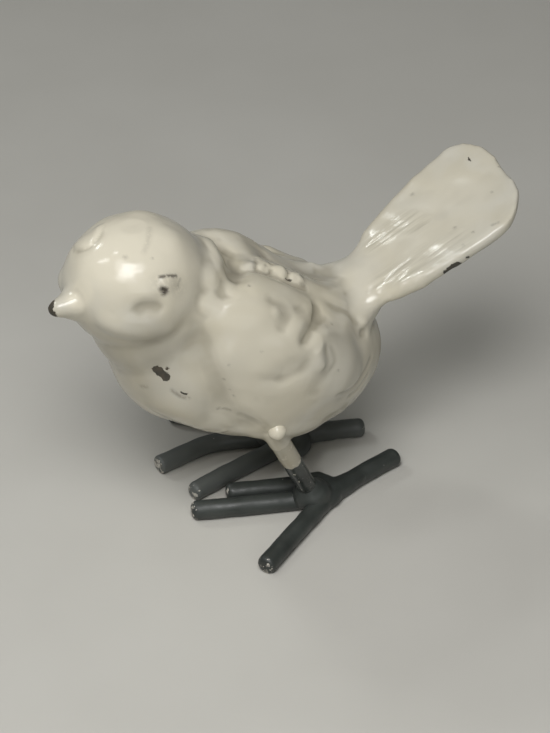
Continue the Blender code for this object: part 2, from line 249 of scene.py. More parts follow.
class Board:
    """Lays out the nodes of one material."""

    def __init__(self, name: str) -> None:
        """Starts a material that holds only its surface shader.

        Args:
            name: the material's name.
        """
        self.material = bpy.data.materials.new(name)
        self.material.use_nodes = True
        self.nodes = self.material.node_tree.nodes
        self.links = self.material.node_tree.links
        self.shader = self.nodes["Principled BSDF"]
        self.place = self.nodes.new("ShaderNodeTexCoord").outputs["Object"]

    def put(self, socket: Socket, value: Value) -> None:
        """Links a socket to another node's output, or sets its value.

        Args:
            socket: the socket.
            value: the output or the value.
        """
        if isinstance(value, Socket):
            self.links.new(value, socket)
        else:
            socket.default_value = value

    def attribute(self, kind: Carried) -> Socket:
        """A value that the mesh carries.

        Args:
            kind: which one.

        Returns:
            The value.
        """
        node = self.nodes.new("ShaderNodeAttribute")
        node.attribute_name = kind.value
        return node.outputs["Fac"]

    def noise(self, place: Socket, scale: float, detail: Detail, swirl: float) -> Socket:
        """Noise over some coordinates.

        Args:
            place: the coordinates.
            scale: how many patches one unit of them holds.
            detail: how many finer layers it has.
            swirl: how much it is distorted.

        Returns:
            The noise, about 0 to 1.
        """
        node = self.nodes.new("ShaderNodeTexNoise")
        self.put(node.inputs["Vector"], place)
        node.inputs["Scale"].default_value = scale
        node.inputs["Detail"].default_value = detail.value
        node.inputs["Distortion"].default_value = swirl
        return node.outputs["Fac"]

    def grain(self, size: float, detail: Detail = Detail.SOFT, swirl: float = 0.0) -> Socket:
        """Cloudy noise with patches of a size."""
        return self.noise(self.place, 1 / (size * MM), detail, swirl)

    def streaks(self, marks: BrushMarks, swirl: float = 0.4) -> Socket:
        """Noise drawn out along the bird, as a brush leaves it.

        Args:
            marks: how far apart the marks lie and how long they are.
            swirl: how much they waver.

        Returns:
            The noise, about 0 to 1.
        """
        stretch = self.nodes.new("ShaderNodeMapping")
        self.put(stretch.inputs["Vector"], self.place)
        stretch.inputs["Scale"].default_value = tuple(marks.scale() / MM)
        return self.noise(stretch.outputs[0], 1.0, Detail.UNEVEN, swirl)

    def dots(self, specks: Specks) -> Socket:
        """Scattered round dots.

        Args:
            specks: their sizes.

        Returns:
            A mask, as high as the specks are strong.
        """
        node = self.nodes.new("ShaderNodeTexVoronoi")
        self.put(node.inputs["Vector"], self.place)
        node.inputs["Scale"].default_value = 1 / (specks.spacing * MM)
        pick = self.nodes.new("ShaderNodeSeparateColor")
        self.put(pick.inputs[0], node.outputs["Color"])
        size = self.span(pick.outputs[0], (1 - specks.kept, 1.0), (0.0, specks.radius / specks.spacing))
        inside = self.maths(Sum.SUBTRACT, size, node.outputs["Distance"])
        return self.maths(Sum.MULTIPLY, self.span(inside, (0.0, specks.edge)), specks.strength)

    def maths(self, operation: Sum, first: Value, second: Value) -> Socket:
        """One sum of two values.

        Args:
            operation: what is done with them.
            first: the first value.
            second: the second value.

        Returns:
            The result.
        """
        node = self.nodes.new("ShaderNodeMath")
        node.operation = operation.value
        self.put(node.inputs[0], first)
        self.put(node.inputs[1], second)
        return node.outputs[0]

    def span(self, value: Value, source: Pair, target: Pair = FULL) -> Socket:
        """Spreads a value from one range, clamped, over another.

        Args:
            value: the value.
            source: the range that it comes from.
            target: the range that it goes to.

        Returns:
            The spread value.
        """
        node = self.nodes.new("ShaderNodeMapRange")
        self.put(node.inputs["Value"], value)
        node.inputs["From Min"].default_value, node.inputs["From Max"].default_value = source
        node.inputs["To Min"].default_value, node.inputs["To Max"].default_value = target
        return node.outputs[0]

    def ragged(self, size: float, detail: Detail, width: float) -> Socket:
        """Noise spread evenly round 0, over a width."""
        return self.span(self.grain(size, detail), WIDE_MIX, (-width / 2, width / 2))

    def blend(self, share: Value, first: Value, second: Value) -> Socket:
        """Goes from the first colour to the second by a share.

        Args:
            share: how far, 0 to 1.
            first: the colour at 0.
            second: the colour at 1.

        Returns:
            The mixed colour.
        """
        node = self.nodes.new("ShaderNodeMix")
        node.data_type = "RGBA"
        self.put(node.inputs["Factor"], share)
        self.put(node.inputs["A"], first)
        self.put(node.inputs["B"], second)
        return node.outputs["Result"]

    def bump(self, height: Socket, depth: float, below: Socket | None = None) -> Socket:
        """Tilts the surface by a height.

        Args:
            height: the height, 0 to 1.
            depth: what a height of 1 stands for.
            below: a bump that this one lies on.

        Returns:
            The tilted normal.
        """
        node = self.nodes.new("ShaderNodeBump")
        self.put(node.inputs["Height"], height)
        node.inputs["Distance"].default_value = depth * MM
        if below is not None:
            self.put(node.inputs["Normal"], below)
        return node.outputs["Normal"]

    def finish(self, colour: Value, roughness: Value, normal: Socket) -> Material:
        """Joins the parts of a finish to the shader.

        Args:
            colour: its colour.
            roughness: its roughness.
            normal: its normal.

        Returns:
            The material.
        """
        self.put(self.shader.inputs["Base Color"], colour)
        self.put(self.shader.inputs["Roughness"], roughness)
        self.put(self.shader.inputs["Normal"], normal)
        return self.material


@dataclass(frozen=True)
class CreamEnamel:
    """Thick glossy cream enamel with chips down to the dark iron."""

    light: Colour = (0.575, 0.548, 0.468, 1.0)
    deep: Colour = (0.548, 0.500, 0.380, 1.0)
    # Painted light: the paler cream that lit patches are painted towards
    pale: Colour = (0.690, 0.642, 0.520, 1.0)
    chalk: Colour = (0.610, 0.592, 0.535, 1.0)
    # Painted shade: the duller cream that shaded patches are painted towards
    painted_shade: Colour = (0.380, 0.355, 0.290, 1.0)
    # Painted shade in the recesses, and the legs' darkening: the colour they are darkened towards
    shade_and_grime: Colour = (0.330, 0.300, 0.230, 1.0)
    stain: Colour = (0.190, 0.170, 0.140, 1.0)
    iron: Colour = (0.050, 0.048, 0.038, 1.0)
    rust: Colour = (0.085, 0.068, 0.048, 1.0)
    tone_size: float = 34.0
    tone_swirl: float = 0.6
    chalk_size: float = 16.0
    chalk_mix: Pair = (0.50, 0.68)
    chalk_strength: float = 0.45
    # Painted shade: how far the deepest recesses are darkened
    recess_shade_strength: float = 0.65
    smear_size: float = 0.9
    smear_mix: Pair = (0.25, 0.5)
    specks: Specks = Specks(11.0, 0.28, 0.3)
    rust_size: float = 1.1
    rust_mix: Pair = (0.35, 0.7)
    sheen_size: float = 11.0
    gloss: Pair = (0.10, 0.20)
    brushed_gloss: float = 0.36
    shine: float = 0.40
    wave_size: float = 7.0
    wave_swirl: float = 0.3
    wave_depth: float = 0.11
    peel_size: float = 1.6
    peel_depth: float = 0.012
    brush_marks: BrushMarks = BrushMarks(0.8, 10.0, 0.15)
    chip_size: float = 0.8
    chip_ragged: float = 0.5
    chip_edge: float = 0.06
    chip_depth: float = 0.12
    chip_roughness: float = 0.6

    def chip_mask(self, board: Board) -> Socket:
        """Where the enamel is gone, with a ragged edge.

        Args:
            board: the material's board.

        Returns:
            A mask, 1 where it is gone.
        """
        edge = board.ragged(self.chip_size, Detail.UNEVEN, self.chip_ragged)
        gone = board.maths(Sum.ADD, board.attribute(Carried.BARE), edge)
        return board.span(gone, (-self.chip_edge, self.chip_edge))

    def paint(self, board: Board) -> Socket:
        """The clean cream: its tones, its chalky bloom and the paler and duller patches.

        Args:
            board: the material's board.

        Returns:
            The clean cream: its tones, its chalky bloom, and the painted light and painted shade of the
                paler and duller patches.
        """
        tone = board.span(board.grain(self.tone_size, Detail.UNEVEN, self.tone_swirl), SOFT_MIX)
        cream = board.blend(tone, self.light, self.deep)
        clouds = board.grain(self.chalk_size, Detail.FINE, self.tone_swirl)
        bloom = board.span(clouds, self.chalk_mix, (0.0, self.chalk_strength))
        cream = board.blend(bloom, cream, self.chalk)
        # Painted light and shade: lifts the cream towards the paler colour and lowers it towards the duller
        # one
        tint = board.attribute(Carried.TINT)
        cream = board.blend(board.span(tint, FULL), cream, self.pale)
        return board.blend(board.span(tint, (0.0, -1.0)), cream, self.painted_shade)

    def dirt_and_shade(self, board: Board, cream: Socket) -> Socket:
        """Painted shade in the recesses, smeared stains and specks.

        Args:
            board: the material's board.
            cream: the clean colour.

        Returns:
            The dirty colour.
        """
        # Painted shade: recesses darkened towards the grime colour
        recess = board.span(board.attribute(Carried.RECESS), FULL, (0.0, self.recess_shade_strength))
        colour = board.blend(recess, cream, self.shade_and_grime)
        uneven = board.span(board.grain(self.smear_size, Detail.UNEVEN), self.smear_mix)
        smear = board.maths(Sum.MULTIPLY, board.attribute(Carried.STAIN), uneven)
        colour = board.blend(smear, colour, self.stain)
        return board.blend(board.dots(self.specks), colour, self.stain)

    def relief(self, board: Board, brushed: Socket, chips: Socket) -> Socket:
        """Waves, brush marks, a fine skin and the depth of the chips.

        Args:
            board: the material's board.
            brushed: how much the enamel is brushed.
            chips: where it is gone.

        Returns:
            The tilted normal.
        """
        normal = board.bump(board.grain(self.wave_size, Detail.PLAIN, self.wave_swirl), self.wave_depth)
        marks = board.maths(Sum.MULTIPLY, board.streaks(self.brush_marks), brushed)
        normal = board.bump(marks, self.brush_marks.depth, normal)
        normal = board.bump(board.grain(self.peel_size), self.peel_depth, normal)
        return board.bump(board.maths(Sum.SUBTRACT, 1.0, chips), self.chip_depth, normal)

    def material(self) -> Material:
        """The enamel of the casting and of the beads.

        Returns:
            The material.
        """
        board = Board("cream_enamel")
        chips = self.chip_mask(board)
        brushed = board.attribute(Carried.BRUSHED)
        rusty = board.span(board.grain(self.rust_size, Detail.FINE), self.rust_mix)
        bare = board.blend(rusty, self.iron, self.rust)
        colour = board.blend(chips, self.dirt_and_shade(board, self.paint(board)), bare)
        sheen = board.span(board.grain(self.sheen_size, Detail.UNEVEN), WIDE_MIX, self.gloss)
        sheen = board.maths(Sum.MULTIPLY, sheen, board.span(brushed, FULL, (1.0, self.brushed_gloss)))
        rough = board.maths(Sum.MAXIMUM, sheen, board.maths(Sum.MULTIPLY, chips, self.chip_roughness))
        board.shader.inputs["Specular IOR Level"].default_value = self.shine
        return board.finish(colour, rough, self.relief(board, brushed, chips))


@dataclass(frozen=True)
class BlackEnamel:
    """Black enamel on steel rod, worn to a pale undercoat at the tips."""

    light: Colour = (0.050, 0.056, 0.051, 1.0)
    deep: Colour = (0.028, 0.032, 0.029, 1.0)
    # Painted light: the lighter grey that the far foot's black is painted towards
    dust: Colour = (0.120, 0.128, 0.120, 1.0)
    undercoat: Colour = (0.60, 0.57, 0.50, 1.0)
    steel: Colour = (0.16, 0.15, 0.135, 1.0)
    tone_size: float = 9.0
    steel_size: float = 0.9
    steel_mix: Pair = (0.45, 0.6)
    flake_size: float = 1.3
    flake_ragged: float = 1.24
    flake_edge: Pair = (0.92, 1.0)
    flake_depth: float = 0.08
    specks: Specks = Specks(3.4, 0.22, 0.16)
    lump_size: float = 3.4
    lump_depth: float = 0.05
    peel_size: float = 0.6
    peel_depth: float = 0.008
    gloss_size: float = 5.0
    gloss: Pair = (0.36, 0.52)
    worn_roughness: float = 0.5

    def worn_mask(self, board: Board) -> Socket:
        """Where the black has come off: flakes near the tips and a few specks all over.

        Args:
            board: the material's board.

        Returns:
            A mask, 1 where it is gone.
        """
        edge = board.ragged(self.flake_size, Detail.FINE, self.flake_ragged)
        flakes = board.span(board.maths(Sum.ADD, board.attribute(Carried.WEAR), edge), self.flake_edge)
        return board.maths(Sum.MAXIMUM, flakes, board.dots(self.specks))

    def paint(self, board: Board) -> Socket:
        """The black itself, a little uneven, and lighter grey where light is painted on the far foot.

        Args:
            board: the material's board.

        Returns:
            The colour.
        """
        tone = board.span(board.grain(self.tone_size, Detail.FINE), SOFT_MIX)
        black = board.blend(tone, self.deep, self.light)
        # Painted light: the far foot's black lifted towards grey
        return board.blend(board.attribute(Carried.DUST), black, self.dust)

    def relief(self, board: Board, worn: Socket) -> Socket:
        """Brushed lumps, a fine skin and the depth of the flakes.

        Args:
            board: the material's board.
            worn: where the black has come off.

        Returns:
            The tilted normal.
        """
        normal = board.bump(board.grain(self.lump_size), self.lump_depth)
        normal = board.bump(board.grain(self.peel_size), self.peel_depth, normal)
        return board.bump(board.maths(Sum.SUBTRACT, 1.0, worn), self.flake_depth, normal)

    def material(self) -> Material:
        """The enamel of toes and welds.

        Returns:
            The material.
        """
        board = Board("black_enamel")
        worn = self.worn_mask(board)
        steel = board.span(board.grain(self.steel_size, Detail.UNEVEN), self.steel_mix)
        under = board.blend(steel, self.undercoat, self.steel)
        colour = board.blend(worn, self.paint(board), under)
        gloss = board.span(board.grain(self.gloss_size, Detail.UNEVEN), WIDE_MIX, self.gloss)
        rough = board.maths(Sum.MAXIMUM, gloss, board.maths(Sum.MULTIPLY, worn, self.worn_roughness))
        return board.finish(colour, rough, self.relief(board, worn))


@dataclass(frozen=True)
class LegEnamel:
    """A leg: cream like the casting above, dipped in black below."""

    cream: CreamEnamel = CreamEnamel()
    black: BlackEnamel = BlackEnamel()
    dip: float = 20.3
    dip_size: float = 2.2
    dip_ragged: float = 1.2
    dip_edge: float = 0.08
    dip_depth: float = 0.10
    tone_size: float = 12.0
    # Partly dirt, partly painted shade: how far the leg's cream is darkened
    dirt_and_shade: float = 0.4
    specks: Specks = Specks(4.0, 0.2, 0.2)
    flake_size: float = 1.2
    flake_mix: Pair = (0.68, 0.72)
    flake_strength: float = 0.8
    gloss_size: float = 4.0
    gloss: Pair = (0.14, 0.30)
    lump_size: float = 2.8
    lump_depth: float = 0.08

    def dip_mask(self, board: Board) -> Socket:
        """Where the leg was dipped, by the height that its mesh carries.

        Args:
            board: the material's board.

        Returns:
            A mask, 1 in the black.
        """
        edge = board.ragged(self.dip_size, Detail.UNEVEN, self.dip_ragged)
        height = board.maths(Sum.ADD, board.attribute(Carried.HEIGHT), edge)
        return board.span(height, (self.dip + self.dip_edge, self.dip - self.dip_edge))

    def upper(self, board: Board) -> Socket:
        """The cream half, darker than the casting: partly dirt, partly painted shade under the belly.

        Args:
            board: the material's board.

        Returns:
            The colour.
        """
        tone = board.span(board.grain(self.tone_size, Detail.UNEVEN), SOFT_MIX)
        cream = board.blend(tone, self.cream.light, self.cream.deep)
        # Partly dirt, partly painted shade: the cream darkened towards the grime colour
        cream = board.blend(self.dirt_and_shade, cream, self.cream.shade_and_grime)
        return board.blend(board.dots(self.specks), cream, self.cream.stain)

    def lower(self, board: Board) -> Socket:
        """The black half, with flakes of cream.

        Args:
            board: the material's board.

        Returns:
            The colour.
        """
        grain = board.grain(self.flake_size, Detail.FINE)
        flakes = board.span(grain, self.flake_mix, (0.0, self.flake_strength))
        return board.blend(flakes, self.black.paint(board), self.cream.light)

    def material(self) -> Material:
        """The enamel of both legs.

        Returns:
            The material.
        """
        board = Board("leg_enamel")
        dipped = self.dip_mask(board)
        colour = board.blend(dipped, self.upper(board), self.lower(board))
        rough = board.span(board.grain(self.gloss_size, Detail.UNEVEN), WIDE_MIX, self.gloss)
        normal = board.bump(board.grain(self.lump_size), self.lump_depth)
        return board.finish(colour, rough, board.bump(dipped, self.dip_depth, normal))


@dataclass(frozen=True)
class PaperFloor:
    """Pale matt paper under the bird."""

    light: Colour = (0.575, 0.560, 0.515, 1.0)
    deep: Colour = (0.550, 0.535, 0.490, 1.0)
    tone_size: float = 60.0
    tooth_size: float = 1.2
    tooth_depth: float = 0.02
    roughness: float = 0.65

    def material(self) -> Material:
        """The paper, hardly uneven.

        Returns:
            The material.
        """
        board = Board("pale_paper")
        tone = board.span(board.grain(self.tone_size, Detail.UNEVEN), SOFT_MIX)
        colour = board.blend(tone, self.light, self.deep)
        tooth = board.bump(board.grain(self.tooth_size), self.tooth_depth)
        return board.finish(colour, self.roughness, tooth)


def smooth_run(points: Sequence[Pixel]) -> list[Pixel]:
    """A smooth curve through a few points.

    Args:
        points: the points, in order.

    Returns:
        The points of the curve.
    """
    if len(points) < 3:
        return list(points)
    padded = [np.array(point, float) for point in (points[0], *points, points[-1])]
    curve = []
    for before, start, end, after in zip(padded, padded[1:], padded[2:], padded[3:]):
        for step in range(CURVE_STEPS):
            share = step / CURVE_STEPS
            bend = (2 * before - 5 * start + 4 * end - after) * share**2
            twist = (3 * start - before - 3 * end + after) * share**3
            curve.append(tuple((2 * start + (end - before) * share + bend + twist) / 2))
    curve.append(tuple(padded[-1]))
    return curve


def nearest_on_path(points: np.ndarray, path: np.ndarray) -> tuple[np.ndarray, np.ndarray, np.ndarray]:
    """Measures points against a path of straight runs.

    Args:
        points: the points, one per row.
        path: the path's points, one per row.

    Returns:
        The distance of each point, its nearest spot on the path and the path's direction there.
    """
    gap = np.linalg.norm(points - path[0], axis=1)
    spot = np.repeat(path[:1], len(points), axis=0)
    along = np.zeros_like(points)
    for start, end in zip(path, path[1:]):
        run = end - start
        share = np.clip((points - start) @ run / (run @ run), 0.0, 1.0)
        here = start + share[:, None] * run
        away = np.linalg.norm(points - here, axis=1)
        closer = away <= gap
        gap = np.where(closer, away, gap)
        spot[closer] = here[closer]
        along[closer] = run / np.linalg.norm(run)
    return gap, spot, along


def faded(gap: np.ndarray, reach: float) -> np.ndarray:
    """How strong a mark is at some distance from its path, 1 on it and 0 at its reach."""
    return np.clip(1.0 - (gap / reach) ** 2, 0.0, 1.0)


@dataclass(frozen=True)
class Stroke:
    """One mark of relief: its path in the photograph, half width, height and a ledge's softness."""

    pixels: tuple[Pixel, ...]
    reach: float
    height: float
    mark: Mark = Mark.RIDGE
    soft: float = 0.5
    region: Region = Region.TORSO


@dataclass(frozen=True)
class Chip:
    """A place where the enamel is gone: its path in the photograph and half width."""

    pixels: tuple[Pixel, ...]
    radius: float
    region: Region = Region.ONE_SIDE

    def inside(self, gap: np.ndarray) -> np.ndarray:
        """How deep points lie inside the chip, by their distance from its path."""
        return self.radius - gap


@dataclass(frozen=True)
class Stain:
    """A place where the enamel is stained: its path in the photograph, half width and darkness."""

    pixels: tuple[Pixel, ...]
    radius: float
    darkness: float
    region: Region = Region.ONE_SIDE

    def inside(self, gap: np.ndarray) -> np.ndarray:
        """How dark the stain is at points, by their distance from its path."""
        return np.clip(1.0 - gap / self.radius, 0.0, 1.0) * self.darkness


@dataclass(frozen=True)
class Tint:
    """A patch of painted light as paler cream, and below 0 of painted shade as duller cream: its path in
    the photograph, half width and how much.
    """

    pixels: tuple[Pixel, ...]
    reach: float
    lift: float
    region: Region = Region.TORSO


@dataclass(frozen=True)
class Patch:
    """A part of the skin: its path in the photograph and half width."""

    pixels: tuple[Pixel, ...]
    reach: float
    region: Region = Region.TORSO


AnyMark = TypeVar("AnyMark", Stroke, Stain, Tint, Patch)


def within(region: Region, *marks: AnyMark) -> tuple[AnyMark, ...]:
    """The same marks, mirrored as a region is."""
    return tuple(replace(mark, region=region) for mark in marks)


# Painted light and shade: paler patches where the cream is lit, duller ones where it is shaded
PAINTED_LIGHT_AND_SHADE = (
    # Painted light: paler crown, shoulder, flank above the leg, rear and tail
    Tint(((108, 238), (140, 250), (165, 262)), 24.0, 0.75, Region.HEAD),
    Tint(((243, 322), (262, 342)), 15.0, 0.42),
    Tint(((248, 405), (288, 400)), 13.0, 0.80),
    Tint(((365, 385),), 8.0, 0.50),
    Tint(((360, 262), (410, 220), (450, 200)), 18.0, 0.25),
    # Painted highlights: paler pad on the forehead, root of the beak and row of beads
    *within(
        Region.ONE_SIDE,
        Tint(((80, 243), (90, 238), (99, 230)), 4.5, 0.90),
        Tint(((78, 300), (82, 292)), 4.5, 1.00),
        Tint(((262, 263), (281, 270), (297, 277)), 4.0, 0.35),
    ),
    # Painted shade: duller throat, breast and flank below the tail
    Tint(((150, 322), (165, 345), (190, 345)), 10.0, -0.75),
    Tint(((125, 360), (150, 385)), 14.0, -0.50),
    Tint(((345, 350),), 11.0, -0.50),
)
# Where the skin is smoothed before the strokes
PLAIN_PATCHES = (
    Patch(((348, 262), (368, 256), (382, 270), (380, 288)), 6.0),
    Patch(((352, 340), (352, 365), (335, 390), (305, 405)), 9.0),
    Patch(((240, 330), (250, 345), (255, 365)), 8.0),
    Patch(((240, 238), (262, 247), (285, 257)), 7.0, Region.ONE_SIDE),
    Patch(((311, 342),), 3.4),
)
# Where it is smoothed once more after the swells
FACETS = within(
    Region.ONE_SIDE,
    Patch(((362, 304), (368, 300), (374, 294)), 5.0),
    Patch(((262, 247), (285, 255), (305, 262)), 4.0),
)
# Bands of brush marks on the tail
BRUSHED_PATCHES = within(
    Region.ONE_SIDE,
    Patch(((384, 285), (420, 263), (460, 243)), 6.0),
    Patch(((375, 243), (390, 232), (404, 222), (420, 226)), 4.5),
)
WING_STROKES = (
    # The upper lobe, the groove behind it and the hollow in it
    Stroke(((258, 286), (280, 291), (297, 296), (306, 304), (306, 317), (299, 332)), 4.4, 0.50),
    Stroke(((316, 309), (314, 323), (304, 339)), 3.2, -0.95),
    Stroke(((302, 338), (311, 323), (314, 310)), 2.4, 0.22, Mark.LEDGE, 0.45),
    Stroke(((272, 300), (283, 306), (287, 316), (282, 328)), 2.8, -0.45),
    Stroke(((277, 312),), 2.2, 0.40),
    # The edge behind the lower lobe, the lobe, its groove and two fine ones at the rear
    Stroke(((330, 366), (333, 359), (330, 350)), 2.4, 0.14, Mark.LEDGE, 0.50),
    Stroke(((268, 376), (284, 375), (297, 368), (305, 358)), 6.0, 0.30, Mark.LEDGE, 1.2),
    Stroke(((312, 341), (320, 348), (324, 361), (323, 376), (316, 391)), 3.8, -0.38),
    Stroke(((340, 396), (353, 387), (364, 373), (371, 358)), 1.7, -0.25),
    Stroke(((350, 396), (360, 387), (368, 375)), 1.4, -0.25),
    # The fold below the root of the tail
    Stroke(((334, 303), (350, 311), (358, 318), (363, 327)), 5.0, 0.80, Mark.LEDGE, 1.0),
    Stroke(((363, 327), (368, 318), (374, 310)), 4.0, 0.60, Mark.LEDGE, 1.0),
    # The step from breast to flank, the crease above the leg and the full belly ahead of it
    Stroke(
        ((207, 333), (214, 355), (222, 378), (231, 398), (243, 413), (266, 428)),
        7.0,
        0.35,
        Mark.LEDGE,
        2.0,
    ),
    Stroke(((240, 415), (252, 420), (266, 428)), 1.6, -0.14),
    Stroke(((168, 409), (186, 418), (203, 424)), 8.0, 1.1),
    Stroke(((190, 425), (202, 428), (220, 430)), 1.6, 0.25),
)
BACK_STROKES = (
    # The uneven ridge of the back and the dip behind it
    *within(
        Region.ONE_SIDE,
        Stroke(((246, 244), (262, 251), (277, 257)), 8.0, 0.70),
        Stroke(((292, 257), (303, 263), (316, 267)), 8.0, -1.6),
    ),
    # The edge of the nape, the furrow behind it and two lumps on the shoulder
    Stroke(((195, 234), (208, 243), (221, 259)), 2.6, 0.50),
    Stroke(((214, 240), (226, 256), (229, 275), (226, 292)), 4.0, -0.60),
    Stroke(((213, 278),), 5.5, 0.90),
    Stroke(((209, 303),), 4.0, 0.70),
)
BEAD_STROKES = within(
    Region.ONE_SIDE,
    # The beads
    Stroke(((245, 268), (250, 266)), 2.0, 0.40),
    Stroke(((258, 260), (264, 262)), 2.5, 0.38),
    Stroke(((262, 267),), 1.7, 0.30),
    Stroke(((276, 267), (282, 268)), 2.5, 0.38),
    Stroke(((283, 274),), 2.0, 0.40),
    Stroke(((293, 275), (299, 275)), 2.5, 0.38),
    Stroke(((301, 281),), 1.9, 0.40),
    # The gaps and creases between them and the groove below
    Stroke(((256, 259), (256, 269)), 0.9, -0.45),
    Stroke(((272, 264), (271, 273)), 0.9, -0.45),
    Stroke(((288, 273), (287, 279)), 0.9, -0.55),
    Stroke(((267, 265), (264, 269)), 0.8, -0.30),
    Stroke(((281, 271), (286, 270)), 0.8, -0.30),
    Stroke(((297, 279), (303, 277)), 0.8, -0.35),
    Stroke(((270, 276), (280, 280), (293, 285), (304, 288)), 1.5, -0.38),
)
FACE_STROKES = (
    # The hollow cheek, the soft swellings round it and its upper edge
    *within(
        Region.HEAD,
        Stroke(((133, 309), (146, 307), (158, 306)), 4.4, -0.45),
        Stroke(((169, 283),), 3.6, 0.20),
        Stroke(((170, 238),), 6.0, 0.45),
        Stroke(((120, 330), (145, 330)), 6.0, 0.30),
        Stroke(((95, 285), (120, 290), (140, 288)), 7.0, -0.20),
        Stroke(((134, 308), (146, 303), (158, 304)), 3.0, 0.10, Mark.LEDGE, 0.80),
    ),
    # The root of the beak and the pad on the forehead
    *within(
        Region.ONE_SIDE,
        Stroke(((60, 308), (70, 306)), 4.5, 0.80),
        Stroke(((80, 243), (90, 238), (99, 230)), 3.6, 0.35),
        Stroke(((76, 248), (85, 249), (93, 244), (99, 236), (102, 229)), 3.0, 0.28, Mark.LEDGE, 0.35),
    ),
)
# Lumps along the lower edge of the belly
BELLY_STROKES = (
    Stroke(((196, 424),), 1.5, 0.30),
    Stroke(((207, 427), (212, 428)), 1.3, 0.30),
    Stroke(((224, 429),), 1.4, 0.30),
)
CHIPS = (
    # Breast
    Chip(((157, 370), (165, 377)), 1.35),
    Chip(((167, 369),), 0.5),
    Chip(((182, 393), (186, 394)), 0.35),
    # Tail
    Chip(((447, 272), (457, 265)), 1.0),
    Chip(((461, 264),), 0.5),
    Chip(((468, 258),), 0.55),
    Chip(((469, 158), (471, 162)), 0.32),
    # Tip of the beak, back and eyes
    Chip(((51, 305), (50, 310), (53, 315)), 1.35),
    Chip(((286, 279), (291, 281)), 0.30),
    Chip(((162, 289), (166, 290), (164, 293)), 0.35, Region.HEAD),
)
STAINS = (
    # Eyes
    *within(
        Region.HEAD,
        Stain(((160, 277), (168, 276), (176, 276)), 0.70, 1.4),
        Stain(((162, 289), (166, 290), (164, 293)), 1.3, 1.5),
        Stain(((160, 284), (172, 282), (178, 288)), 4.0, 0.22),
        Stain(((180, 279), (178, 287)), 0.7, 0.6),
        Stain(((158, 280), (158, 288)), 0.8, 0.3),
    ),
    # Tail
    Stain(((499, 167),), 0.5, 0.8),
    Stain(((492, 192),), 0.5, 0.8),
    Stain(((473, 232),), 0.6, 0.9),
    Stain(((463, 245),), 0.5, 0.9),
    Stain(((412, 194),), 0.9, 0.6),
    Stain(((455, 228),), 0.8, 0.7),
    Stain(((492, 225), (498, 222)), 0.6, 0.6),
    # Head and beak
    Stain(((150, 228), (148, 242), (144, 252)), 1.1, 0.2),
    Stain(((125, 257),), 1.0, 0.4),
    Stain(((152, 258),), 0.5, 0.8),
    Stain(((68, 306),), 0.5, 0.9),
    # Breast, flank, wing and back
    Stain(((172, 391), (180, 396), (188, 398)), 0.9, 0.7),
    Stain(((141, 387), (146, 387)), 1.0, 0.45),
    Stain(((218, 409), (224, 409), (230, 411)), 0.7, 0.8),
    Stain(((224, 379),), 0.6, 0.8),
    Stain(((229, 365),), 0.5, 0.8),
    Stain(((230, 389),), 0.5, 0.7),
    Stain(((234, 395),), 0.6, 0.8),
    Stain(((262, 352),), 0.6, 0.8),
    Stain(((300, 283), (304, 286)), 0.9, 0.5),
    Stain(((249, 286),), 0.6, 0.9),
    Stain(((254, 284),), 0.5, 0.9),
    Stain(((338, 370),), 0.6, 0.8),
    Stain(((332, 324),), 0.6, 0.7),
)


@dataclass(frozen=True)
class Ripple:
    """A swell of cast or brushed surfaces: how far apart its waves are and how far they rise."""

    size: float
    depth: float


def copied_node(name: str) -> Mesh:
    """A merged copy of a solid's mesh.

    Args:
        name: the solid's node.

    Returns:
        The copy.
    """
    bm = bmesh.new()
    bm.from_mesh(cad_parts[name].data)
    bmesh.ops.remove_doubles(bm, verts=bm.verts[:], dist=MERGE_GAP * MM)
    return bm


def box_of_node(name: str) -> tuple[Vector, Vector]:
    """The lowest and highest corner of a solid."""
    low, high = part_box(name)
    return Vector(low) / MM, Vector(high) / MM


def as_piece(bm: Mesh, name: str) -> Piece:
    """Makes a mesh an object, shaded smooth.

    Args:
        bm: the mesh, which is freed.
        name: the object's name.

    Returns:
        The object.
    """
    mesh = bpy.data.meshes.new(name)
    bm.to_mesh(mesh)
    bm.free()
    mesh.shade_smooth()
    piece = bpy.data.objects.new(name, mesh)
    bpy.context.scene.collection.objects.link(piece)
    return piece


def fuse(piece: Piece, grain: float, smoothing: int) -> None:
    """Makes the object's joined lumps one smooth skin.

    Args:
        piece: the object.
        grain: how fine the skin is.
        smoothing: how often it is smoothed.
    """
    skin = piece.modifiers.new("skin", "REMESH")
    skin.mode = "VOXEL"
    skin.voxel_size = grain * MM
    soften = piece.modifiers.new("soften", "SMOOTH")
    soften.factor = FUSE_SHARE
    soften.iterations = smoothing
    bpy.context.view_layer.update()
    fused = bpy.data.meshes.new_from_object(piece.evaluated_get(bpy.context.evaluated_depsgraph_get()))
    fused.shade_smooth()
    piece.modifiers.clear()
    piece.data = fused


def add_ball(bm: Mesh, middle: Vector, sizes: Triple, sides: int = 32) -> None:
    """Adds an ellipsoid.

    Args:
        bm: the mesh it goes into.
        middle: where its middle lies.
        sizes: its sizes along X, Y and Z.
        sides: how many sides it has.
    """
    place = Matrix.Translation(middle * MM) @ Matrix.Diagonal((*(Vector(sizes) * MM / 2), 1.0))
    bmesh.ops.create_uvsphere(bm, u_segments=sides, v_segments=sides // 2, radius=1.0, matrix=place)


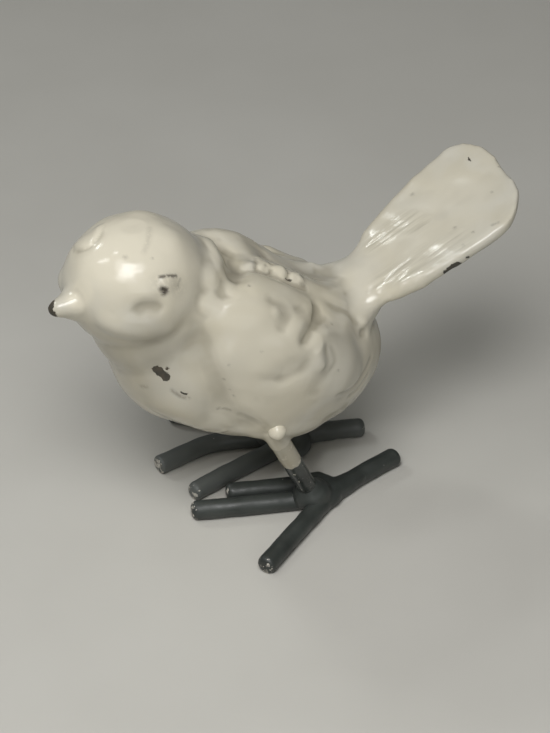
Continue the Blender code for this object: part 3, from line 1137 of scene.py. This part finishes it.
def add_bar(bm: Mesh, start: Vector, end: Vector, widths: Pair, sides: int = 32) -> None:
    """Adds a round bar between two points.

    Args:
        bm: the mesh it goes into.
        start: the middle of its first end.
        end: the middle of its last end.
        widths: its diameters at the first and the last end.
        sides: how many sides it has.
    """
    run = end - start
    lie = run.to_track_quat("Z", "Y").to_matrix().to_4x4()
    bmesh.ops.create_cone(
        bm,
        cap_ends=True,
        segments=sides,
        radius1=widths[0] / 2 * MM,
        radius2=widths[1] / 2 * MM,
        depth=run.length * MM,
        matrix=Matrix.Translation((start + end) / 2 * MM) @ lie,
    )


def upright_bar(length: float, width: float, sides: int) -> Mesh:
    """A round bar that stands on the origin.

    Args:
        length: its length.
        width: its diameter.
        sides: how many sides it has.

    Returns:
        The bar's mesh.
    """
    bm = bmesh.new()
    add_bar(bm, Vector((0.0, 0.0, 0.0)), Vector((0.0, 0.0, length)), (width, width), sides)
    return bm


def cut_rings(bm: Mesh, least: float, rings: int) -> None:
    """Cuts rings into an upright bar.

    Args:
        bm: the bar's mesh.
        least: how high an edge has to reach to be one of the bar's long ones.
        rings: how many rings.
    """
    long_edges = [edge for edge in bm.edges if abs(edge.verts[0].co.z - edge.verts[1].co.z) > least * MM]
    bmesh.ops.subdivide_edges(bm, edges=long_edges, cuts=rings)


def corners_of(piece: Piece) -> np.ndarray:
    """The object's vertices, one per row.

    Args:
        piece: the object.

    Returns:
        The vertices' places.
    """
    flat = np.empty(len(piece.data.vertices) * 3)
    piece.data.vertices.foreach_get("co", flat)
    return flat.reshape(-1, 3) / MM


def move_corners(piece: Piece, points: np.ndarray) -> None:
    """Puts the object's vertices at these points."""
    piece.data.vertices.foreach_set("co", (points * MM).ravel())
    piece.data.update()


def keep_above(piece: Piece, height: float) -> None:
    """Flattens what lies below a height.

    Args:
        piece: the object.
        height: the height above the floor.
    """
    points = corners_of(piece)
    points[:, 2] = np.maximum(points[:, 2], height)
    move_corners(piece, points)


def normals_of(piece: Piece) -> np.ndarray:
    """The object's vertex normals, one per row.

    Args:
        piece: the object.

    Returns:
        The normals, of length 1.
    """
    flat = np.empty(len(piece.data.vertices) * 3)
    piece.data.vertex_normals.foreach_get("vector", flat)
    return flat.reshape(-1, 3)


def carry(piece: Piece, kind: Carried, values: np.ndarray | float) -> None:
    """Lets the mesh carry a value at each vertex.

    Args:
        piece: the object.
        kind: what the value is.
        values: one value per vertex, or one for all.
    """
    layer = piece.data.attributes.new(name=kind.value, type="FLOAT", domain="POINT")
    layer.data.foreach_set("value", np.broadcast_to(values, len(piece.data.vertices)).copy())


def ripple(piece: Piece, *ripples: Ripple) -> None:
    """Lets the surface swell and sink a little.

    Args:
        piece: the object.
        ripples: its swells, one after the other.
    """
    for swell in ripples:
        points = corners_of(piece)
        heights = np.array([noise.noise(Vector(point) / swell.size) for point in points])
        move_corners(piece, points + normals_of(piece) * (heights * swell.depth)[:, None])


def adopt(piece: Piece, material: Material, node: str) -> None:
    """Dresses a piece and lets it stand for a solid.

    Args:
        piece: the object.
        material: its finish.
        node: the solid that it stands for.
    """
    piece.data.materials.clear()
    piece.data.materials.append(material)
    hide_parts(node)
    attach(piece, ROOT_BODY)


@dataclass
class Leg:
    """One leg of steel rod and the bead of weld at its top."""

    side: Side
    foot: Triple = (13.80, 4.80, 2.4)
    top: Triple = (19.63, -9.93, 35.5)
    diameter_below: float = 5.1
    diameter_above: float = 5.7
    thickens: Pair = (1 / 7, 6 / 7)
    rings: int = 60
    sides: int = 48
    ripples: tuple[Ripple, ...] = (Ripple(3.5, 0.10),)
    bead_diameter: float = 4.8
    bead_sides: int = 40
    # Painted highlight: how much paler the bead's cream is painted
    bead_painted_light: float = 0.9
    bead_ripples: tuple[Ripple, ...] = (Ripple(2.5, 0.15),)

    def at(self, spot: Triple) -> Vector:
        """A spot given outwards from the middle plane, on this side."""
        return Vector((MIDDLE_X + self.side.value * spot[0], spot[1], spot[2]))

    def axis(self) -> tuple[Vector, Vector]:
        """The two ends of the leg's axis."""
        return self.at(self.foot), self.at(self.top)

    def build_rod(self, enamel: Material) -> Piece:
        """The rod, a little thicker where the cream enamel is.

        Args:
            enamel: its finish.

        Returns:
            The rod.
        """
        start, end = self.axis()
        run = end - start
        bm = upright_bar(run.length, self.diameter_below, self.sides)
        cut_rings(bm, run.length / 2, self.rings)
        rod = as_piece(bm, f"{self.side.word}_leg_rod")
        points = corners_of(rod)
        height = points[:, 2].copy()
        diameter = np.interp(height / run.length, self.thickens, (self.diameter_below, self.diameter_above))
        points[:, :2] *= (diameter / self.diameter_below)[:, None]
        lie = np.array(run.to_track_quat("Z", "Y").to_matrix())
        move_corners(rod, points @ lie.T + np.array(start))
        ripple(rod, *self.ripples)
        carry(rod, Carried.HEIGHT, height)
        adopt(rod, enamel, f"{self.side.word}_leg")
        return rod

    def build_bead(self, enamel: Material) -> Piece:
        """The bead of weld, half sunk in the flank.

        Args:
            enamel: its finish.

        Returns:
            The bead.
        """
        node = f"{self.side.word}_leg_bead"
        low, high = box_of_node(node)
        middle = (low + high) / 2
        middle.x -= self.side.value * (self.bead_diameter - (high - low).x) / 2
        bm = bmesh.new()
        add_ball(bm, middle, (self.bead_diameter,) * 3, self.bead_sides)
        bead = as_piece(bm, f"{self.side.word}_weld_bead")
        ripple(bead, *self.bead_ripples)
        carry(bead, Carried.BARE, UNCHIPPED)
        # Painted highlight on the bead, as paler cream
        carry(bead, Carried.TINT, self.bead_painted_light)
        adopt(bead, enamel, node)
        return bead


@dataclass
class Casting:
    """The iron casting: torso, head, wings and tail in one skin."""

    view: PhotoView
    legs: Sequence[Leg]
    grain: float = 0.5
    smoothing: int = 14
    socket_diameter: float = 6.4
    socket_below: float = 7.0
    socket_above: float = 1.5
    ripples: tuple[Ripple, ...] = (
        Ripple(15.0, 0.45),
        Ripple(9.0, 0.18),
        Ripple(6.0, 0.10),
        Ripple(3.6, 0.04),
    )
    brush_marks: BrushMarks = BrushMarks(1.3, 10.0, 0.19)
    recess_rounds: int = 12
    recess_depth: float = 0.16
    piece: Piece = field(init=False)
    points: np.ndarray = field(init=False)
    tree: BVHTree = field(init=False)

    def build_skin(self) -> None:
        """Takes the solid, fills the sockets round the legs and makes it one fine skin."""
        bm = copied_node("body_casting")
        for leg in self.legs:
            foot, top = leg.axis()
            run = (top - foot).normalized()
            low = top - run * self.socket_below
            high = top + run * self.socket_above
            add_bar(bm, low, high, (self.socket_diameter, self.socket_diameter))
        self.piece = as_piece(bm, "bird_casting")
        fuse(self.piece, self.grain, self.smoothing)
        self.points = corners_of(self.piece)
        faces = [tuple(face.vertices) for face in self.piece.data.polygons]
        self.tree = BVHTree.FromPolygons([Vector(point) for point in self.points], faces)

    def spots(self, pixels: Sequence[Pixel]) -> np.ndarray:
        """Where a path in the photograph lies on the skin.

        Args:
            pixels: the path's pixels.

        Returns:
            The spots, one per row; a pixel beside the bird takes the nearest skin.
        """
        found = []
        for pixel in smooth_run(pixels):
            start, along = self.view.ray(pixel)
            hit = self.tree.ray_cast(start / MM, along)[0]
            if hit is None:
                beside = start / MM + along * self.view.distance
                hit = self.tree.find_nearest(beside)[0]
            found.append(hit)
        return np.array(found)

    def mirrored(self, spots: np.ndarray, region: Region) -> np.ndarray:
        """The spots on the bird's other side, put back on the skin.

        Args:
            spots: the spots, one per row.
            region: which plane they are mirrored in.

        Returns:
            The mirrored spots, one per row.
        """
        turn = math.radians(HEAD_TURN) if region is Region.HEAD else 0.0
        across = np.array((math.cos(turn), math.sin(turn), 0.0))
        other = spots - 2 * ((spots - np.array(HEAD_MIDDLE)) @ across)[:, None] * across
        return np.array([self.tree.find_nearest(Vector(spot))[0] for spot in other])

    def both_sides(self, mark: Stroke | Chip | Stain | Tint | Patch) -> list[np.ndarray]:
        """A mark's path on the skin, and its mirrored one where it has one.

        Args:
            mark: the mark.

        Returns:
            One or two paths, with one spot per row.
        """
        path = self.spots(mark.pixels)
        if mark.region is Region.ONE_SIDE:
            return [path]
        return [path, self.mirrored(path, mark.region)]

    def press(self, path: np.ndarray, stroke: Stroke, normals: np.ndarray, flip: float) -> None:
        """Works one stroke into the skin.

        Args:
            path: the stroke's spots.
            stroke: its sizes.
            normals: the skin's normals.
            flip: -1 where the path is a mirrored one, so that a ledge keeps its raised side.
        """
        low = path.min(axis=0) - stroke.reach
        high = path.max(axis=0) + stroke.reach
        here = np.flatnonzero(np.all((self.points > low) & (self.points < high), axis=1))
        gap, spot, along = nearest_on_path(self.points[here], path)
        fade = faded(gap, stroke.reach) ** 2
        if stroke.mark is Mark.LEDGE:
            left = np.cross(normals[here], along)
            aside = np.einsum("ij,ij->i", self.points[here] - spot, left) * flip
            fade = fade * np.tanh(aside / stroke.soft)
        self.points[here] += normals[here] * (stroke.height * fade)[:, None]

    def sculpt(self, strokes: Sequence[Stroke]) -> None:
        """Works strokes into the skin, on both sides where they are mirrored, inside the solid's box.

        Args:
            strokes: the strokes, in order.
        """
        normals = normals_of(self.piece)
        for stroke in strokes:
            for path, flip in zip(self.both_sides(stroke), (1.0, -1.0)):
                self.press(path, stroke, normals, flip)
        low, high = (np.array(corner) for corner in box_of_node("body_casting"))
        self.points = np.clip(self.points, low + SKIN_MARGIN, high - SKIN_MARGIN)
        move_corners(self.piece, self.points)

    def mark(self, marks: Sequence[Chip | Stain], kind: Carried, elsewhere: float) -> None:
        """Lets the skin carry how far each point lies inside the chips or stains.

        Args:
            marks: the chips or stains.
            kind: what the value is.
            elsewhere: the value away from them all.
        """
        values = np.full(len(self.points), elsewhere)
        for mark in marks:
            for path in self.both_sides(mark):
                values = np.maximum(values, mark.inside(nearest_on_path(self.points, path)[0]))
        carry(self.piece, kind, values)

    def tint(self, light_and_shade: Sequence[Tint]) -> None:
        """Lets the skin carry its painted light as paler cream, and below 0 its painted shade as duller
        cream.

        Args:
            light_and_shade: the patches.
        """
        # Painted light and shade: summed over the patches
        values = np.zeros(len(self.points))
        for tint in light_and_shade:
            for path in self.both_sides(tint):
                values += tint.lift * faded(nearest_on_path(self.points, path)[0], tint.reach) ** 2
        carry(self.piece, Carried.TINT, values)

    def covered(self, patches: Sequence[Patch]) -> np.ndarray:
        """How far each of the skin's points lies inside some patches.

        Args:
            patches: the patches.

        Returns:
            One share per point, 0 to 1.
        """
        share = np.zeros(len(self.points))
        for patch in patches:
            for path in self.both_sides(patch):
                share = np.maximum(share, faded(nearest_on_path(self.points, path)[0], patch.reach))
        return share

    def brush(self, patches: Sequence[Patch]) -> None:
        """Leaves fine brush marks in the enamel, and lets the skin carry where.

        Args:
            patches: where they lie.
        """
        brushed = self.covered(patches)
        marks = np.array([noise.noise(Vector(point)) for point in self.points * self.brush_marks.scale()])
        self.points += normals_of(self.piece) * (marks * brushed * self.brush_marks.depth)[:, None]
        move_corners(self.piece, self.points)
        carry(self.piece, Carried.BRUSHED, brushed)

    def averaged(self, share: np.ndarray, rounds: int) -> np.ndarray:
        """The skin's points drawn towards their neighbours.

        Args:
            share: how far each point follows its neighbours, 0 to 1.
            rounds: how often they do.

        Returns:
            The points, one per row.
        """
        pairs = np.empty(len(self.piece.data.edges) * 2, dtype=np.int64)
        self.piece.data.edges.foreach_get("vertices", pairs)
        first, second = pairs.reshape(-1, 2).T
        ends = np.concatenate((first, second))
        others = np.concatenate((second, first))
        count = np.bincount(ends, minlength=len(self.points))
        points = self.points.copy()
        for _ in range(rounds):
            total = [np.bincount(ends, points[others, axis], len(points)) for axis in range(3)]
            middle = np.stack(total, axis=-1) / count[:, None]
            points += (middle - points) * share[:, None]
        return points

    def soften(self, patches: Sequence[Patch]) -> None:
        """Smooths the skin in some patches."""
        self.points = self.averaged(self.covered(patches), SOFTEN_ROUNDS)
        move_corners(self.piece, self.points)

    def mark_recess_shade(self) -> None:
        """Lets the skin carry how far each point lies below its surroundings, for the painted shade in
        recesses.
        """
        around = self.averaged(np.ones(len(self.points)), self.recess_rounds)
        below = np.einsum("ij,ij->i", around - self.points, normals_of(self.piece))
        carry(self.piece, Carried.RECESS, np.clip(below / self.recess_depth, 0.0, 1.0))

    def build(self, enamel: Material) -> Piece:
        """The whole casting.

        Args:
            enamel: its finish.

        Returns:
            The casting.
        """
        self.build_skin()
        self.soften(PLAIN_PATCHES)
        for strokes in (WING_STROKES, BACK_STROKES, BEAD_STROKES, FACE_STROKES, BELLY_STROKES):
            self.sculpt(strokes)
        ripple(self.piece, *self.ripples)
        self.points = corners_of(self.piece)
        self.soften(FACETS)
        self.brush(BRUSHED_PATCHES)
        self.mark(CHIPS, Carried.BARE, UNCHIPPED)
        self.mark(STAINS, Carried.STAIN, 0.0)
        # Painted light and shade, as paler and duller cream
        self.tint(PAINTED_LIGHT_AND_SHADE)
        # Painted shade in the recesses
        self.mark_recess_shade()
        adopt(self.piece, enamel, "body_casting")
        return self.piece


@dataclass(frozen=True)
class Toe:
    """One toe: the points of its axis in X and Y, from root to tip, its sideways bow and its worn tip."""

    name: str
    path: tuple[Pair, ...]
    bow: float
    wear: float

    def length(self) -> float:
        """How long its straight runs are together."""
        return sum(math.dist(start, end) for start, end in zip(self.path, self.path[1:]))


LEFT_TOES = (
    Toe("outer", ((13.95, 10.25), (35.77, -18.38)), 0.0, 0.9),
    Toe("middle", ((15.04, 7.35), (7.01, -28.57)), 0.3, 1.0),
    Toe("inner", ((8.77, 7.83), (3.46, -17.11)), 0.2, 0.8),
    Toe("rear", ((13.1, 12.14), (5.87, 33.13)), 0.2, 0.4),
)
RIGHT_TOES = (
    Toe("middle", ((-13.1, 11.25), (-18.53, -13.66), (-14.1, -31.83)), 0.0, 1.15),
    Toe("outer", ((-15.82, 9.30), (-35.67, -20.13)), 0.4, 0.8),
    Toe("inner", ((-11.02, 10.26), (0.04, -25.89)), -0.3, 0.9),
    Toe("rear", ((-12.49, 13.78), (-8.84, 29.57)), 0.2, 0.8),
)


def leftwards(ahead: np.ndarray) -> np.ndarray:
    """The level directions to the left of level directions, one per row."""
    return np.stack((-ahead[:, 1], ahead[:, 0], np.zeros(len(ahead))), axis=-1)


@dataclass
class Foot:
    """One foot: four toes of rod and the weld that joins them.

    A collar of the weld is a lump on the leg: its height along the leg and its sizes.
    """

    side: Side
    toes: Sequence[Toe]
    leg: Leg
    # Painted light: how far this foot's black is lifted to grey
    dust: float
    axis_height: float = 2.4
    diameter: float = 5.4
    sides: int = 40
    rings: int = 64
    end_rounding: float = 1.7
    end_steps: int = 5
    cap_rings: int = 3
    cap_ring_width: float = 0.4
    elbow_rounding: float = 0.0875
    elbow_samples: int = 9
    look_ahead: float = 0.03
    worn_length: float = 2.6
    ripples: tuple[Ripple, ...] = (Ripple(4.0, 0.14), Ripple(1.6, 0.05))
    mound_size: Triple = (13.5, 11.5, 6.6)
    mound_back: float = 1.0
    mound_height: float = 2.6
    sleeve_length: float = 9.0
    sleeve_over: float = 1.2
    sleeve_under: float = 0.3
    collars: tuple[tuple[float, Triple], ...] = ((2.6, (10.0, 11.0, 8.4)), (4.4, (7.6, 7.6, 7.6)))
    weld_grain: float = 0.32
    weld_smoothing: int = 22
    weld_ripples: tuple[Ripple, ...] = (Ripple(3.0, 0.22),)
    weld_lift: float = 0.25

    def walk(self, toe: Toe, share: np.ndarray) -> np.ndarray:
        """Points on a toe's straight runs.

        Args:
            toe: the toe.
            share: how far along each point lies, 0 at the root to 1 at the tip.

        Returns:
            The points, one per row.
        """
        knots = np.array([(*knot, self.axis_height) for knot in toe.path])
        runs = np.linalg.norm(np.diff(knots, axis=0), axis=1)
        at_knots = np.concatenate(([0.0], np.cumsum(runs))) / runs.sum()
        kept = np.clip(share, 0.0, 1.0)
        return np.stack([np.interp(kept, at_knots, places) for places in knots.T], axis=-1)

    def axis(self, toe: Toe, share: np.ndarray) -> tuple[np.ndarray, np.ndarray]:
        """Points of a toe's bowed axis and its direction there.

        Args:
            toe: the toe.
            share: how far along each point lies, 0 at the root to 1 at the tip.

        Returns:
            The points and the directions, one per row.
        """
        rounding = self.elbow_rounding if len(toe.path) > 2 else 0.0
        spread = np.linspace(-rounding, rounding, self.elbow_samples)
        points = np.mean([self.walk(toe, share + part) for part in spread], axis=0)
        ahead = self.walk(toe, share + self.look_ahead) - self.walk(toe, share - self.look_ahead)
        ahead /= np.linalg.norm(ahead, axis=1)[:, None]
        return points + leftwards(ahead) * (toe.bow * np.sin(math.pi * share))[:, None], ahead

    def straight_rod(self, length: float) -> Mesh:
        """A toe's rod before it is bent, upright and with rounded ends.

        Args:
            length: its length.

        Returns:
            The rod's mesh.
        """
        bm = upright_bar(length, self.diameter, self.sides)
        caps = [face for face in bm.faces if len(face.verts) == self.sides]
        rims = list({edge for face in caps for edge in face.edges})
        bmesh.ops.bevel(
            bm,
            geom=rims,
            offset=self.end_rounding * MM,
            offset_type="OFFSET",
            segments=self.end_steps,
            profile=0.5,
            affect="EDGES",
            material=-1,
        )
        cut_rings(bm, length / 2, self.rings)
        caps = [face for face in bm.faces if len(face.verts) == self.sides]
        for _ in range(self.cap_rings):
            bmesh.ops.inset_region(bm, faces=caps, thickness=self.cap_ring_width * MM, use_even_offset=True)
        bmesh.ops.poke(bm, faces=caps)
        return bm

    def build_toe(self, toe: Toe, enamel: Material) -> Piece:
        """One toe: a rod bent along its axis, worn at its tip.

        Args:
            toe: the toe.
            enamel: its finish.

        Returns:
            The toe.
        """
        length = toe.length()
        rod = as_piece(self.straight_rod(length), f"{self.side.word}_{toe.name}_toe_rod")
        points = corners_of(rod)
        share = points[:, 2] / length
        middle, ahead = self.axis(toe, np.clip(share, 0.0, 1.0))
        upwards = np.array((0.0, 0.0, 1.0))
        move_corners(rod, middle + leftwards(ahead) * points[:, :1] + upwards * points[:, 1:2])
        ripple(rod, *self.ripples)
        keep_above(rod, 0.0)
        from_tip = (1.0 - share) * length
        carry(rod, Carried.WEAR, np.clip(1.0 - from_tip / self.worn_length, 0.0, 1.0) * toe.wear)
        # Painted light on this foot's toes
        carry(rod, Carried.DUST, self.dust)
        adopt(rod, enamel, f"{self.side.word}_{toe.name}_toe")
        return rod

    def build_weld(self, enamel: Material) -> Piece:
        """The weld: sleeves round the toes' roots, run together with a low mound and collars round the leg.

        Args:
            enamel: its finish.

        Returns:
            The weld.
        """
        node = f"{self.side.word}_foot_weld"
        low, high = box_of_node(node)
        middle = (low + high) / 2
        thick = self.diameter + self.sleeve_over
        thin = self.diameter - self.sleeve_under
        bm = bmesh.new()
        add_ball(bm, Vector((middle.x, middle.y + self.mound_back, self.mound_height)), self.mound_size)
        for toe in self.toes:
            root = Vector((*toe.path[0], self.axis_height))
            along = (Vector((*toe.path[1], self.axis_height)) - root).normalized()
            add_ball(bm, root, (thick,) * 3)
            add_bar(bm, root, root + along * self.sleeve_length, (thick, thin))
        foot, top = self.leg.axis()
        upwards = (top - foot).normalized()
        for height, sizes in self.collars:
            add_ball(bm, foot + upwards * height, sizes)
        weld = as_piece(bm, f"{self.side.word}_weld")
        fuse(weld, self.weld_grain, self.weld_smoothing)
        ripple(weld, *self.weld_ripples)
        keep_above(weld, self.weld_lift)
        carry(weld, Carried.WEAR, 0.0)
        # Painted light on this foot's weld
        carry(weld, Carried.DUST, self.dust)
        adopt(weld, enamel, node)
        return weld

    def build(self, enamel: Material) -> list[Piece]:
        """The whole foot.

        Args:
            enamel: its finish.

        Returns:
            The toes and the weld.
        """
        toes = [self.build_toe(toe, enamel) for toe in self.toes]
        return [*toes, self.build_weld(enamel)]


@dataclass(frozen=True)
class Lamp:
    """A soft rectangular light that faces the bird from a direction."""

    name: str
    azimuth: float
    elevation: float
    distance: float
    size: Pair
    power: float
    tint: Triple = (1.0, 1.0, 1.0)

    def build(self, target: Vector) -> None:
        """Adds the light.

        Args:
            target: what it faces.
        """
        light = bpy.data.lights.new(self.name, "AREA")
        light.shape = "RECTANGLE"
        light.size = self.size[0] * MM
        light.size_y = self.size[1] * MM
        light.energy = self.power
        light.color = self.tint
        lamp = bpy.data.objects.new(self.name, light)
        away = towards(self.azimuth, self.elevation)
        lamp.location = (target + away * self.distance) * MM
        lamp.rotation_euler = (-away).to_track_quat("-Z", "Y").to_euler()
        bpy.context.scene.collection.objects.link(lamp)


WINDOW_TINT = (0.96, 1.0, 0.98)
ROOM_TINT = (0.96, 1.0, 0.97)
LAMPS = (
    Lamp("key_lamp", 58.0, 59.0, 900.0, (370.0, 350.0), 2.60),
    Lamp("left_lamp", 53.0, 60.0, 500.0, (280.0, 280.0), 0.60),
    Lamp("low_lamp", 60.0, 54.0, 520.0, (300.0, 300.0), 0.68),
    Lamp("side_pane", 86.0, 55.0, 1300.0, (100.0, 95.0), 0.30),
    Lamp("front_window", -9.0, 51.0, 1500.0, (190.0, 310.0), 1.35),
    Lamp("front_pane", -32.5, 71.0, 1550.0, (140.0, 140.0), 0.45),
    Lamp("far_window", -54.5, 46.0, 1500.0, (140.0, 105.0), 0.90, WINDOW_TINT),
    Lamp("far_slit", -56.5, 38.5, 1500.0, (205.0, 105.0), 1.75, WINDOW_TINT),
    Lamp("far_pane", -62.5, 37.8, 1500.0, (50.0, 40.0), 0.10, WINDOW_TINT),
    Lamp("far_fill", -61.0, 29.0, 1500.0, (1600.0, 1200.0), 0.35, WINDOW_TINT),
    Lamp("room_fill", 88.0, 24.0, 1100.0, (700.0, 500.0), 0.90, ROOM_TINT),
)


@dataclass
class Studio:
    """A sheet of pale paper, soft light and the camera."""

    view: PhotoView
    floor_size: float = 4000.0
    floor_parts: int = 2
    sky: Colour = (1.0, 0.99, 0.97, 1.0)
    sky_strength: float = 0.005

    def add_floor(self) -> None:
        """Lays the paper that the bird stands on."""
        bm = bmesh.new()
        parts = self.floor_parts
        bmesh.ops.create_grid(bm, x_segments=parts, y_segments=parts, size=self.floor_size / 2 * MM)
        floor = as_piece(bm, "paper_floor")
        floor.data.materials.append(PaperFloor().material())

    def add_sky(self) -> None:
        """Adds the even light of the room."""
        world = bpy.data.worlds.new("soft_room")
        world.use_nodes = True
        backdrop = world.node_tree.nodes["Background"]
        backdrop.inputs["Color"].default_value = self.sky
        backdrop.inputs["Strength"].default_value = self.sky_strength
        bpy.context.scene.world = world

    def build(self) -> None:
        """Adds floor, sky, lamps and camera."""
        self.add_floor()
        self.add_sky()
        for lamp in LAMPS:
            lamp.build(Vector(self.view.target))
        bpy.context.scene.view_settings.view_transform = "Standard"
        self.view.add_camera()


def main() -> None:
    """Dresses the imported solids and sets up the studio."""
    logging.basicConfig(level=logging.INFO, format="%(name)s: %(message)s")
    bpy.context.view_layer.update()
    view = PhotoView()
    cream = CreamEnamel().material()
    black = BlackEnamel().material()
    dipped = LegEnamel().material()
    legs = {side: Leg(side) for side in Side}
    pieces = [Casting(view, list(legs.values())).build(cream)]
    # The far foot gets painted light, the near one none
    for side, toes, dust in ((Side.LEFT, LEFT_TOES, 0.0), (Side.RIGHT, RIGHT_TOES, FAR_FOOT_PAINTED_LIGHT)):
        pieces.append(legs[side].build_rod(dipped))
        pieces.append(legs[side].build_bead(cream))
        pieces.extend(Foot(side, toes, legs[side], dust).build(black))
    for piece in pieces:
        log.info("%s: %d faces", piece.name, len(piece.data.polygons))
    Studio(view).build()


if __name__ == "__main__":
    main()
